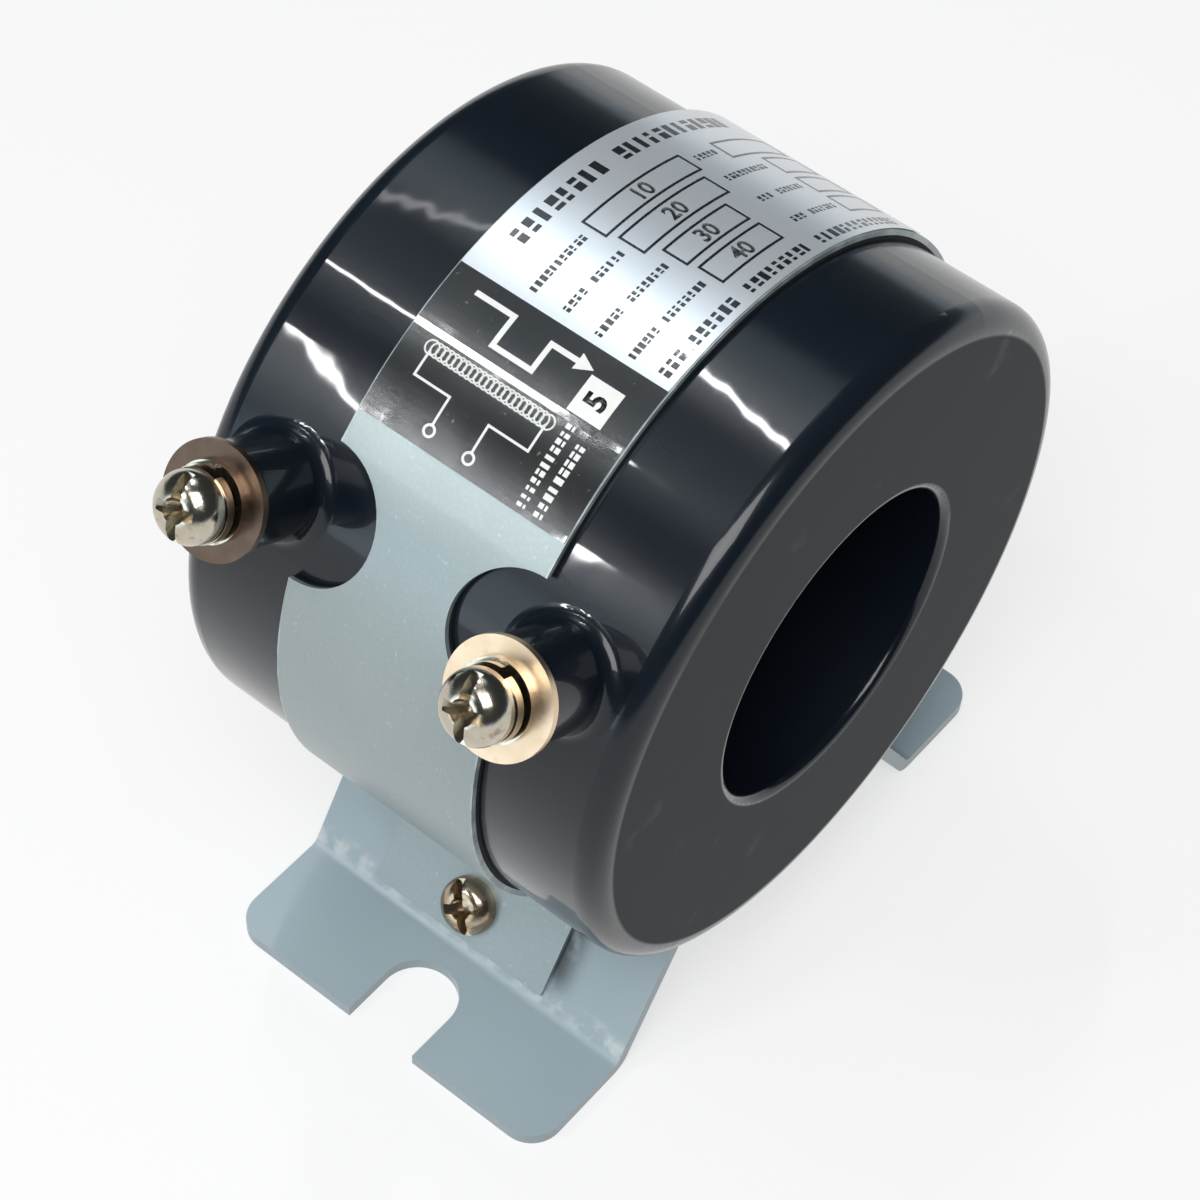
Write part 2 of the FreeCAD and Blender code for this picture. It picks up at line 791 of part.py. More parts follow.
def make_ear_hole(body, label, side, hole_y=ZERO):
    """Clearance hole for an ear screw, square to the bracket wall on one side, through strap and wall."""
    hole_x, hole_z = wall_point(Sizes.ear_screw_place, ZERO)
    depth = (Sizes.strap_thickness + Sizes.bracket_thickness) * 2
    hole = new_sketch(body, "XY_Plane", label + "_hole_circle",
                      (-side * hole_x, ZERO, hole_z), turn=side * Sizes.wall_slope)
    draw_circle(hole, Sizes.ear_thread_dia / 2 + Sizes.ear_hole_clearance, ZERO, hole_y)
    cut(body, hole, label + "_hole", depth, both_ways=True)


def make_strap():
    """Steel band over the housing, folded outwards at both ends into ears."""
    label = "clamp_strap"
    body = new_body(label)
    thickness = Sizes.strap_thickness
    left = [
        wall_line_at_radius(strap_radius, -thickness),
        wall_point(Sizes.ear_end, -thickness),
        wall_point(Sizes.ear_end, ZERO),
        wall_line_at_radius(liner_radius, ZERO),
    ]
    outline = new_sketch(body, "XZ_Plane", label + "_outline")
    draw_outline(outline, left + mirrored(left), arcs=[(3, -1), (7, 1)])
    extrude(body, outline, label + "_band", Sizes.strap_width, both_ways=True)

    def at_fold(corner):
        return lambda p: near(abs(p.x), abs(corner[0].value)) and near(p.z, corner[1].value)

    fillet(body, label + "_fold_inside", Sizes.strap_bend, at_fold(left[0]))
    fillet(body, label + "_fold_outside", Sizes.strap_bend + thickness, at_fold(left[3]))
    cut_notches(body, label)

    ear_half = Sizes.ear_width / 2
    edge = Sizes.strap_width / 2 + thickness
    trim = new_sketch(body, "XY_Plane", label + "_ear_trim_outline", (ZERO, ZERO, -housing_radius))
    for side in (-1, 1):
        low, high = (ear_half, edge) if side > 0 else (-edge, -ear_half)
        draw_outline(trim, rectangle(-bend_x, bend_x, low, high))
    cut(body, trim, label + "_ear_trim", Sizes.centre_height - housing_radius)
    for side, name in ((-1, "left"), (1, "right")):
        make_ear_hole(body, f"{label}_{name}", side)


def make_label():
    """Film on the strap, from its low edge beside the notches over the top."""
    label = "rating_label"
    body = new_body(label)
    half = Sizes.label_width / 2
    section = new_sketch(body, "XY_Plane", label + "_section",
                         turn=-Sizes.label_low_angle)
    seat = strap_radius + Sizes.label_adhesive
    draw_outline(section, rectangle(seat, seat + Sizes.label_thickness, -half, half))
    film = body.newObject("PartDesign::Revolution", label + "_film")
    film.Profile = section
    film.ReferenceAxis = (section, ["V_Axis"])
    film.Angle = Sizes.label_span.value
    bind(film, "Angle", Sizes.label_span)
    doc.recompute()


# Saddle bracket

def make_bracket():
    """Folded sheet: two slotted feet, two sloping walls and a cradle under the housing."""
    label = "saddle_bracket"
    body = new_body(label)
    thickness = Sizes.bracket_thickness
    half_length = Sizes.bracket_length / 2
    floor = -Sizes.centre_height
    run, rise = cosine(Sizes.wall_slope), sine(Sizes.wall_slope)
    # The under face of the bend: where the wall's inner face meets the floor.
    under_bend_x = thickness * (1 - run) / rise - bend_x
    left = [
        wall_line_at_radius(cradle_radius, thickness),
        (under_bend_x, floor),
        (-half_length, floor),
        (-half_length, foot_top),
        (-bend_x, foot_top),
        wall_line_at_radius(liner_radius, ZERO),
    ]
    outline = new_sketch(body, "XZ_Plane", label + "_outline")
    draw_outline(outline, left + mirrored(left), arcs=[(5, 1), (11, -1)])
    extrude(body, outline, label + "_sheet", Sizes.bracket_width, both_ways=True)

    def at_bend(corner):
        return lambda p: near(abs(p.x), abs(corner[0].value)) and near(p.z, corner[1].value)

    inside, outside = Sizes.bracket_bend, Sizes.bracket_bend + thickness
    fillet(body, label + "_cradle_bend_inside", inside, at_bend(left[0]))
    fillet(body, label + "_foot_bend_outside", outside, at_bend(left[1]))
    fillet(body, label + "_foot_bend_inside", inside, at_bend(left[4]))
    fillet(body, label + "_cradle_bend_outside", outside, at_bend(left[5]))
    half_width_y = Sizes.bracket_width / 2
    fillet(body, label + "_foot_corners", Sizes.foot_corner,
           lambda p: near(abs(p.x), half_length.value) and near(abs(p.y), half_width_y.value))

    slot_radius = Sizes.slot_width / 2
    slot_ends = new_sketch(body, "XY_Plane", label + "_slot_end_circles", (ZERO, ZERO, foot_top))
    slot_mouths = new_sketch(body, "XY_Plane", label + "_slot_mouth_outlines", (ZERO, ZERO, foot_top))
    for side in (-1, 1):
        ends = [side * (Sizes.slot_spacing / 2), side * (half_length + slot_radius)]
        draw_circle(slot_ends, slot_radius, ends[0])
        ends.sort(key=lambda size: size.value)
        draw_outline(slot_mouths, rectangle(*ends, -slot_radius, slot_radius))
    cut(body, slot_ends, label + "_slot_ends", thickness)
    cut(body, slot_mouths, label + "_slot_mouths", thickness)
    for side, name in ((-1, "left"), (1, "right")):
        make_ear_hole(body, f"{label}_{name}", side, -Sizes.bracket_shift)
    place_body(body, ZERO, move_y=Sizes.bracket_shift)


# Ear screws and nuts

def place_on_wall(body, side):
    """Puts local +Z along the outward normal of a bracket wall, from the ear screw's place."""
    hole_x, hole_z = wall_point(Sizes.ear_screw_place, ZERO)
    place_body(body, side * Sizes.wall_slope, move_x=-side * hole_x, move_z=hole_z)


def make_ear_fasteners(name, side):
    screw = make_pan_screw(f"{name}_ear_screw", "ear", Sizes.strap_thickness, Sizes.ear_driver_turn)
    place_on_wall(screw, side)

    label = f"{name}_ear_nut"
    nut = new_body(label)
    corner_radius = Sizes.nut_across_flats / root(Size("3", 3))
    outline = new_sketch(nut, "XY_Plane", label + "_hexagon", (ZERO, ZERO, -Sizes.bracket_thickness))
    corners = []
    for step in range(HEXAGON_SIDES):
        angle = math.radians(FULL_TURN / HEXAGON_SIDES * step)
        corners.append((corner_radius * math.cos(angle), corner_radius * math.sin(angle)))
    draw_outline(outline, corners)
    draw_circle(outline, Sizes.ear_thread_dia / 2)
    extrude(nut, outline, label + "_pad", Sizes.nut_thickness, reverse=True)
    place_on_wall(nut, side)


def build():
    front_shell = make_half_shell("front_half_shell", -1, tongue=True)
    rear_shell = make_half_shell("rear_half_shell", 1, tongue=False)
    make_core()
    make_core_case()
    make_winding()
    make_sleeve()
    inserts = [make_terminal("front", -1, Sizes.front_driver_turn),
               make_terminal("rear", 1, Sizes.rear_driver_turn)]
    leads = [make_lead("front_lead", -1), make_lead("rear_lead", 1)]
    make_resin([front_shell, rear_shell] + inserts + leads)
    make_liner()
    make_strap()
    make_label()
    make_bracket()
    make_ear_fasteners("left", -1)
    make_ear_fasteners("right", 1)


NODES = [
    "front_half_shell", "rear_half_shell",
    "wound_core", "core_case_base", "core_case_lid", "secondary_winding", "winding_sleeve", "potting_resin",
    "front_terminal_insert", "rear_terminal_insert", "front_lead", "rear_lead",
    "front_lug_washer", "rear_lug_washer", "front_plain_washer", "rear_plain_washer",
    "front_spring_washer", "rear_spring_washer", "front_terminal_screw", "rear_terminal_screw",
    "strap_liner", "clamp_strap", "rating_label", "saddle_bracket",
    "left_ear_screw", "right_ear_screw", "left_ear_nut", "right_ear_nut",
]


def check_and_export():
    doc.recompute()
    for item in doc.Objects:
        if "Invalid" in item.State or "Error" in item.State:
            raise RuntimeError(f"{item.Name} failed: {item.State}")
    os.makedirs("parts", exist_ok=True)
    for node in NODES:
        shape = doc.getObjectsByLabel(node)[0].Shape
        if shape.isNull() or not shape.isValid() or not shape.Solids:
            raise RuntimeError(f"{node} has no sound solid")
        print(f"{node}: {len(shape.Solids)} solid, {shape.Volume:.1f} mm3")
        shape.exportStep(f"parts/{node}.step")


build()
check_and_export()
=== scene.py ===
import math
import random

import bmesh
import bpy
from bpy.props import FloatProperty, FloatVectorProperty, IntProperty, PointerProperty
from mathutils import Matrix, Vector


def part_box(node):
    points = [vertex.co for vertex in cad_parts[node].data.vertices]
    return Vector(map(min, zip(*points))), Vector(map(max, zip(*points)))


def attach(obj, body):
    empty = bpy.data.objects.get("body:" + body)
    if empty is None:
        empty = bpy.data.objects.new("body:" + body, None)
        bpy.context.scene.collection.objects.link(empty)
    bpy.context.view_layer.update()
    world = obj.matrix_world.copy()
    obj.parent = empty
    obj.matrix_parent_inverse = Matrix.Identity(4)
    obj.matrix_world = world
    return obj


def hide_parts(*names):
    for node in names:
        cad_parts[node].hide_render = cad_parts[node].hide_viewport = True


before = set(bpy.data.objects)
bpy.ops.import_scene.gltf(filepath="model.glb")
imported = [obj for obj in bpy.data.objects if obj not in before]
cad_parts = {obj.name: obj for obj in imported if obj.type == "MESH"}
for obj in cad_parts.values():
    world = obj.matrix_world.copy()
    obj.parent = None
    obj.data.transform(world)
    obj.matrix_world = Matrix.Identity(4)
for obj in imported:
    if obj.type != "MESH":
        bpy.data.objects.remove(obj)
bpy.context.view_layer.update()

bl_info = {
    "name": "Ring current transformer",
    "version": (1, 0, 0),
    "blender": (4, 5, 0),
    "location": "3D View > Sidebar > Transformer",
    "description": "Finishes, rating film, screw threads and studio of a ring current transformer",
    "category": "Object",
}

MM = 0.001
BODY = "root"

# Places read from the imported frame, in metres. The window runs along Y and +Z is up.
HOUSING_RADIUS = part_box("front_half_shell")[1].x
HOUSING_HALF_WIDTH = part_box("rear_half_shell")[1].y
STRAP_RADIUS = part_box("clamp_strap")[1].z
STRAP_HALF_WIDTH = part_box("clamp_strap")[1].y
FLOOR_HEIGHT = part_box("saddle_bracket")[0].z
FILM_LOW, FILM_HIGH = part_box("rating_label")
# The film round the window's axis: outer and inner radius, angle of its low edge, and length.
FILM_TOP = FILM_HIGH.z
FILM_BASE = STRAP_RADIUS + 0.1 * MM
FILM_START = math.acos(FILM_LOW.x / FILM_TOP)
FILM_LENGTH = FILM_TOP * (FILM_START - math.acos(FILM_HIGH.x / FILM_TOP))

# The floor lies this far under the bracket.
FLOOR_GAP = 0.05 * MM
# Points of a flat pattern that lie closer than this are joined.
WELD = 1e-7
# Height of a digit as a share of the font's size.
DIGIT_SHARE = 0.7
# Turns of wire drawn round the winding: about 1 mm apart.
TURNS_DRAWN = 220.0


def linear(hex_colour):
    """Turn an sRGB hex colour into the linear colour that a shader takes."""
    channels = [int(hex_colour[place : place + 2], 16) / 255 for place in (1, 3, 5)]
    curved = [c / 12.92 if c <= 0.04045 else ((c + 0.055) / 1.055) ** 2.4 for c in channels]
    return (*curved, 1.0)


def colour_setting(name, description, hex_colour):
    """Declare a colour that a user may change."""
    return FloatVectorProperty(
        name=name, description=description, default=linear(hex_colour), subtype="COLOR",
        size=4, min=0, max=1,
    )


def size_setting(name, description, millimetres):
    """Declare a length that a user may change, given here in millimetres."""
    return FloatProperty(
        name=name, description=description, default=millimetres * MM, unit="LENGTH", min=0
    )


def share_setting(name, description, share):
    """Declare a share from 0 to 1 that a user may change."""
    return FloatProperty(
        name=name, description=description, default=share, subtype="FACTOR", min=0, max=1
    )


class HousingSettings(bpy.types.PropertyGroup):
    shell_colour: colour_setting("Shell", "Glossy moulded shell", "#0d131b")
    shell_tint: colour_setting("Shell tint", "Slow variation of the shell's colour", "#161d26")
    face_colour: colour_setting("End face", "Matt end face of the shell", "#20242a")
    shell_roughness: share_setting("Shell roughness", "Dullness under the polished skin", 0.26)
    skin_roughness: share_setting("Skin roughness", "Dullness of the polished skin", 0.045)
    skin_weight: share_setting("Skin", "How strongly the polished skin shines", 0.55)
    face_roughness: share_setting("Face roughness", "Dullness of the end face", 0.55)
    rim_round: size_setting("Rim round", "Radius of the round at the outer rim", 3.5)
    rim_blur: size_setting("Rim blur", "How softly the matt face ends at the rim", 0.3)
    window_edge: size_setting("Window edge", "Radius where the end face starts", 24.7)
    window_blur: size_setting("Window blur", "How softly the matt face ends at the window", 0.2)
    face_start: size_setting("Face start", "Depth at which the matt face starts", 0.12)
    face_full: size_setting("Face full", "Depth at which the face is fully matt", 0.03)
    sink_size: size_setting("Sink size", "Width of the shallow waves of the moulding", 13.0)
    sink_depth: size_setting("Sink depth", "Depth of the shallow waves of the moulding", 0.07)


class MetalSettings(bpy.types.PropertyGroup):
    strap_colour: colour_setting("Strap paint", "Satin paint of the clamp strap", "#98a5a7")
    strap_tint: colour_setting("Strap tint", "Patches in the strap's paint", "#a0adae")
    bracket_colour: colour_setting("Bracket paint", "Gloss paint of the bracket", "#9badb5")
    bracket_tint: colour_setting("Bracket tint", "Patches in the bracket's paint", "#a3b4bb")
    worn_colour: colour_setting("Worn paint", "Paint scraped pale at the bends", "#c4ced0")
    chip_colour: colour_setting("Chip", "Dull steel where the paint has chipped", "#7b8588")
    nickel: colour_setting("Nickel", "Plate of the terminal screws and small washers", "#cfc8bc")
    ear_nickel: colour_setting("Ear nickel", "Browned plate of ear screws and nuts", "#c3b199")
    # The front lug washer's cream plate is a painted reflection of the bright things it mirrors.
    front_washer_reflection: colour_setting("Front washer", "Plate of the front lug washer", "#eed6ba")
    dull_washer: colour_setting("Rear washer", "Dulled plate of the rear lug washer", "#705d50")
    # Colour of the painted shadow that the strap's near ear casts on the bracket's wall.
    ear_shadow_colour: colour_setting("Ear shadow", "Old grease beside the strap's near ear", "#353d41")
    bend_height: size_setting("Bend wear height", "Top of the scraped bend over the floor", 6.0)
    edge_wear: size_setting("Edge wear", "Width of the worn edge of the strap", 0.35)


class FilmSettings(bpy.types.PropertyGroup):
    silver: colour_setting("Silver field", "Metallised field of the rating film", "#e3e8ec")
    silver_tint: colour_setting("Silver tint", "Slow variation of the silver field", "#d3dbe3")
    black: colour_setting("Black field", "Printed black field of the rating film", "#15171a")
    dark_ink: colour_setting("Dark ink", "Print on the silver field", "#17181d")
    pale_ink: colour_setting("Pale ink", "Print on the black field", "#eef0ee")
    thickness: size_setting("Film thickness", "Thickness of film and print", 0.10)
    ink_thickness: size_setting("Ink thickness", "Thickness of the print", 0.02)
    border: size_setting("Border", "Length of the black field round the strap", 22.2)
    line_width: size_setting("Line width", "Width of a printed frame line", 0.38)
    circuit_width: size_setting("Circuit line", "Width of a thin line of the symbol", 0.34)
    primary_width: size_setting("Primary line", "Width of the thick line of the symbol", 0.75)
    digit_height: size_setting("Digit height", "Height of the numbers in the boxes", 2.4)
    digit_growth: size_setting("Digit growth", "How far their strokes are thickened", 0.09)
    white_box_height: size_setting("White box digit", "Height of the white box's number", 2.9)
    white_box_growth: size_setting("White box growth", "How far its strokes are thickened", 0.144)
    coil_loops: IntProperty(name="Coil loops", description="Loops of the symbol", default=22, min=2)
    coil_radius: size_setting("Coil loop", "Radius of a loop of the coil symbol", 0.85)
    coil_line: size_setting("Coil line", "Width of the line of a loop", 0.24)


class ThreadSettings(bpy.types.PropertyGroup):
    radius: size_setting("Thread radius", "Outer radius of the ear screw's thread", 2.0)
    pitch: size_setting("Pitch", "Pitch of the ear screw's thread", 0.7)
    depth: size_setting("Depth", "Depth of the ear screw's thread", 0.25)
    length: size_setting("Length", "Length of the thread that shows behind the nut", 1.1)
    start: size_setting("Start", "Distance of the thread's start from the nut's middle", 1.7)


class StageSettings(bpy.types.PropertyGroup):
    lens: FloatProperty(
        name="Lens", description="Focal length for a 36 mm sensor", default=99.78, unit="CAMERA",
        min=1,
    )
    floor: colour_setting("Floor", "Pale floor", "#f4f5f6")
    floor_size: size_setting("Floor size", "Side of the floor", 6000.0)
    floor_glow: share_setting("Floor white", "Share of plain white near the object", 0.65)
    floor_bounce: colour_setting("Floor bounce", "Floor as it lights the object", "#a9acb0")
    floor_near: size_setting("Floor near", "Where the floor starts to turn plain white", 200.0)
    floor_far: size_setting("Floor far", "Where the floor is plain white", 900.0)
    ambient: share_setting("Ambient", "Even light from all round", 0.26)
    dim_ceiling: share_setting("Ceiling", "Brightness of the ceiling in gloss", 0.06)
    horizon: share_setting("Horizon", "Height up to which gloss sees a pale horizon", 0.12)
    glow_tint: colour_setting("Glow tint", "Cool daylight that gloss sees", "#d8eaf4")
    key: FloatProperty(
        name="Key", description="Power of the key softbox", default=8.7, unit="POWER", min=0
    )
    strip_radiance: FloatProperty(
        name="Strip brightness", description="Brightness of the strip lights", default=85.0, min=0
    )
    strip_distance: size_setting("Strip distance", "Distance of the strip lights", 1200.0)


def settings():
    """Return the sizes and colours that the sidebar shows."""
    return bpy.context.scene.transformer


# Materials


def waves_per_metre(millimetres):
    """Turn the real width of a pattern's feature into a texture scale."""
    return 1 / (millimetres * MM)


class Nodes:
    """A node tree that grows node by node.

    A mix node takes its factor in socket 0, numbers in 2 and 3, and colours in 6 and 7."""

    def __init__(self, tree):
        self.tree = tree

    def add(self, kind, sockets=(), **options):
        """Add a node, set its options, value or link its sockets, and return its outputs."""
        node = self.tree.nodes.new(kind)
        for name, value in options.items():
            setattr(node, name, value)
        for name, value in dict(sockets).items():
            if isinstance(value, bpy.types.NodeSocket):
                self.tree.links.new(value, node.inputs[name])
            else:
                node.inputs[name].default_value = value
        return node.outputs


class Finish(Nodes):
    """A surface whose colour, shine and relief all vary by nodes on object coordinates."""

    def __init__(self, name, colour, tint, patch_mm, shine, relief=(), **constants):
        """Mix colour and tint in patches, vary the roughness and add each (width, depth) in mm."""
        self.material = bpy.data.materials.new(name)
        self.material.use_nodes = True
        self.material.diffuse_color = colour
        super().__init__(self.material.node_tree)
        self.shader = self.tree.nodes["Principled BSDF"].inputs
        for socket, value in constants.items():
            self.shader[socket.replace("_", " ")].default_value = value
        self.place = self.add("ShaderNodeTexCoord")["Object"]
        patches = self.noise(patch_mm)
        mixed = self.add("ShaderNodeMix", {0: patches, 6: colour, 7: tint}, data_type="RGBA")
        self.connect("Base Color", mixed[2])
        dull = {"Value": patches, "To Min": shine[0], "To Max": shine[1]}
        self.connect("Roughness", self.add("ShaderNodeMapRange", dull)[0])
        for width, depth in relief:
            self.raise_by(self.noise(width), depth)

    def connect(self, name, socket):
        """Link a socket to the shader."""
        self.tree.links.new(socket, self.shader[name])

    def under(self, name):
        """Return the socket that the shader takes now."""
        return self.shader[name].links[0].from_socket

    def noise(self, width_mm, detail=2.0, stretch=(1, 1, 1)):
        """Return a noise of features about width_mm wide, drawn out along an axis by stretch."""
        place = self.add("ShaderNodeMapping", {"Vector": self.place, "Scale": stretch})[0]
        sockets = {"Vector": place, "Scale": waves_per_metre(width_mm), "Detail": detail}
        return self.add("ShaderNodeTexNoise", sockets)["Fac"]

    def raise_by(self, height, depth_mm):
        """Add a relief of depth_mm over the reliefs that are there."""
        sockets = {"Height": height, "Distance": depth_mm * MM}
        if self.shader["Normal"].is_linked:
            sockets["Normal"] = self.under("Normal")
        bump = self.add("ShaderNodeBump", sockets)[0]
        for name in ("Normal", "Coat Normal"):
            self.connect(name, bump)

    def lay_over(self, mask, colour=None, roughness=None, amount=1.0):
        """Put a share of another colour and roughness where the mask is one."""
        if amount != 1.0:
            mask = self.add("ShaderNodeMath", {0: mask, 1: amount}, operation="MULTIPLY")[0]
        if colour is not None:
            sockets = {0: mask, 6: self.under("Base Color"), 7: colour}
            self.connect("Base Color", self.add("ShaderNodeMix", sockets, data_type="RGBA")[2])
        if roughness is not None:
            sockets = {0: mask, 2: self.under("Roughness"), 3: roughness}
            self.connect("Roughness", self.add("ShaderNodeMix", sockets)[0])

    def where(self, *limits):
        """Return a mask that is one where each (value, gone, full) is full, and soft between."""
        mask = None
        for value, gone, full in limits:
            sockets = {"Value": value, "From Min": gone, "From Max": full}
            step = self.add("ShaderNodeMapRange", sockets, interpolation_type="SMOOTHSTEP")[0]
            if mask is None:
                mask = step
            else:
                mask = self.add("ShaderNodeMath", {0: mask, 1: step}, operation="MULTIPLY")[0]
        return mask

    def distance_from_middle(self):
        """Return the distance of the surface's place from the middle of the housing's width."""
        axis = self.add("ShaderNodeSeparateXYZ", {0: self.place})
        return self.add("ShaderNodeMath", {0: axis["Y"]}, operation="ABSOLUTE")[0]

    def distance_from_window_axis(self):
        """Return the distance of the surface's place from the window's axis."""
        sockets = {0: self.place, 1: (1, 0, 1)}
        flat = self.add("ShaderNodeVectorMath", sockets, operation="MULTIPLY")["Vector"]
        return self.add("ShaderNodeVectorMath", {0: flat}, operation="LENGTH")["Value"]


def dress(material, *nodes):
    """Give the CAD nodes a finish."""
    for node in nodes:
        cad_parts[node].data.materials[0] = material


def moulded_abs(chosen):
    """Moulded ABS: mirror-like side with shallow sink waves, fine matt spark-eroded end face."""
    body = chosen.shell_roughness
    finish = Finish(
        "moulded_black_abs", chosen.shell_colour, chosen.shell_tint, patch_mm=30,
        shine=(body - 0.03, body + 0.04),
        relief=((chosen.sink_size / MM, chosen.sink_depth / MM),),
        Coat_Roughness=chosen.skin_roughness, Coat_IOR=1.45, Specular_IOR_Level=0.18,
    )
    width = finish.distance_from_middle()
    radius = finish.distance_from_window_axis()
    # The matt face is flat: it lies between the rounds of the rim and of the window.
    rim = HOUSING_RADIUS - chosen.rim_round
    window = chosen.window_edge
    face = finish.where(
        (width, HOUSING_HALF_WIDTH - chosen.face_start, HOUSING_HALF_WIDTH - chosen.face_full),
        (radius, rim + chosen.rim_blur, rim - chosen.rim_blur),
        (radius, window - chosen.window_blur, window + chosen.window_blur),
    )
    finish.lay_over(face, chosen.face_colour, chosen.face_roughness)
    # The polished skin stops at the matt face.
    side = finish.add("ShaderNodeMath", {0: 1.0, 1: face}, operation="SUBTRACT")[0]
    skin = finish.add("ShaderNodeMath", {0: side, 1: chosen.skin_weight}, operation="MULTIPLY")[0]
    finish.connect("Coat Weight", skin)
    # Spark erosion is about 0.05 mm fine; it is drawn at 0.5 mm so that the render can show it.
    grain = {0: finish.noise(0.5), 1: face}
    finish.raise_by(finish.add("ShaderNodeMath", grain, operation="MULTIPLY")[0], depth_mm=0.02)
    # Handling leaves faint scuffs that only dull the gloss.
    scuffs = finish.where((finish.noise(9, detail=6.0, stretch=(1, 0.25, 1)), 0.62, 0.75))
    finish.lay_over(scuffs, roughness=0.34, amount=0.5)
    return finish.material


def painted_strap(chosen):
    """Steel strip in aluminium-pigmented powder coat: satin orange peel, pale worn edges."""
    finish = Finish(
        "powder_coated_strap", chosen.strap_colour, chosen.strap_tint, patch_mm=14,
        shine=(0.36, 0.46), relief=((1.1, 0.012), (9, 0.05)),
        Metallic=0.4, Coat_Weight=0.3, Coat_Roughness=0.3,
    )
    width = finish.distance_from_middle()
    worn = finish.where(
        (width, STRAP_HALF_WIDTH - chosen.edge_wear, STRAP_HALF_WIDTH), (finish.noise(4), 0.4, 0.6)
    )
    finish.lay_over(worn, chosen.worn_colour, roughness=0.5)
    # The pigment's flakes are about 0.05 mm; they are drawn at 0.5 mm, as a faint speckle.
    flakes = finish.where((finish.noise(0.5), 0.4, 0.75))
    finish.lay_over(flakes, chosen.worn_colour, amount=0.12)
    specks = finish.where((finish.noise(1.1), 0.68, 0.74))
    finish.lay_over(specks, chosen.worn_colour, amount=0.4)
    return finish.material


# Where the ear's painted shadow on the bracket's near wall is gone and full: axis and places in mm.
# The front edge of the strap's ear is at -15.75.
EAR_SHADOW_LIMITS = (
    (1, 0.0, -15.75), (1, -20.75, -15.75), (2, -66.5, -61.5), (2, -51.0, -55.5), (0, -20.0, -24.0)
)


def painted_bracket(chosen):
    """Enamelled folded steel: glossier than the strap, scraped pale at the bends and chipped."""
    finish = Finish(
        "enamelled_steel_bracket", chosen.bracket_colour, chosen.bracket_tint, patch_mm=18,
        shine=(0.26, 0.4), relief=((1.6, 0.015), (11, 0.10)),
        Coat_Weight=0.25, Coat_Roughness=0.15,
    )
    axis = finish.add("ShaderNodeSeparateXYZ", {0: finish.place})
    # The scraping starts just over the 2 mm sheet of the foot.
    top = FLOOR_HEIGHT + chosen.bend_height
    scraped = finish.where(
        (axis[2], FLOOR_HEIGHT + 2.1 * MM, FLOOR_HEIGHT + 2.8 * MM),
        (axis[2], top, top - 2 * MM),
        (finish.noise(3.5, detail=5.0), 0.40, 0.62),
    )
    finish.lay_over(scraped, chosen.worn_colour, roughness=0.55)
    finish.raise_by(scraped, depth_mm=0.05)
    chips = finish.where((finish.noise(2.4, detail=4.0), 0.74, 0.76))
    finish.lay_over(chips, chosen.chip_colour, roughness=0.6)
    # Painted shadow: a soft dark band that the strap's near ear casts along its front edge.
    limits = [(axis[side], gone * MM, full * MM) for side, gone, full in EAR_SHADOW_LIMITS]
    painted_shadow = finish.where((finish.noise(2.6, stretch=(1, 1, 0.5)), 0.15, 0.5), *limits)
    finish.lay_over(painted_shadow, chosen.ear_shadow_colour, roughness=0.5)
    return finish.material


def plated_steel(name, colour, tint, shine, stained):
    """Nickel-plated steel: bright warm metal, scratched by driver and barrel, a little stained."""
    finish = Finish(
        name, colour, linear(tint), patch_mm=2.5, shine=shine,
        relief=((0.45, 0.006), (2.2, 0.055)), Metallic=1.0,
    )
    stain = finish.where((finish.noise(1.2, detail=5.0), 0.58, 0.74))
    finish.lay_over(stain, linear("#6f6252"), roughness=0.45, amount=stained)
    return finish.material


# Plated pieces: the setting that holds their colour, then name, tint, shine, stains and nodes.
PLATED_PIECES = (
    ("nickel", "nickel_plated_screw", "#b3a994", (0.12, 0.24), 0.5,
     ("front_terminal_screw", "front_spring_washer", "front_plain_washer",
      "rear_terminal_screw", "rear_spring_washer", "rear_plain_washer")),
    ("ear_nickel", "browned_nickel_screw", "#9f8d76", (0.14, 0.28), 0.7,
     ("left_ear_screw", "left_ear_nut", "right_ear_screw", "right_ear_nut")),
    # Front lug washer: its cream plate is a painted reflection.
    ("front_washer_reflection", "bright_nickel_washer", "#e8c9a8", (0.3, 0.42), 0.1,
     ("front_lug_washer",)),
    ("dull_washer", "dulled_nickel_washer", "#625248", (0.26, 0.42), 0.5,
     ("rear_lug_washer",)),
)


def machined_brass():
    """Turned brass: yellow metal with fine turning marks about 0.3 mm apart."""
    finish = Finish(
        "turned_brass", linear("#c8a35a"), linear("#b89148"), patch_mm=3, shine=(0.22, 0.34),
        Metallic=1.0,
    )
    finish.raise_by(finish.noise(0.3, stretch=(0.2, 1, 0.2)), depth_mm=0.01)
    return finish.material


def wound_strip_steel():
    """Grain-oriented strip wound in a ring: its 0.3 mm layers are drawn 0.9 mm apart to show."""
    finish = Finish(
        "wound_silicon_steel", linear("#7d8083"), linear("#6a6d71"), patch_mm=8,
        shine=(0.35, 0.5), Metallic=1.0,
    )
    turns = {0: finish.distance_from_window_axis(), 1: 2 * math.pi * waves_per_metre(0.9)}
    wave = finish.add("ShaderNodeMath", turns, operation="MULTIPLY")[0]
    layers = finish.where((finish.add("ShaderNodeMath", {0: wave}, operation="SINE")[0], -0.6, 0.9))
    finish.lay_over(layers, linear("#45484b"), roughness=0.6, amount=0.4)
    finish.raise_by(layers, depth_mm=0.05)
    return finish.material


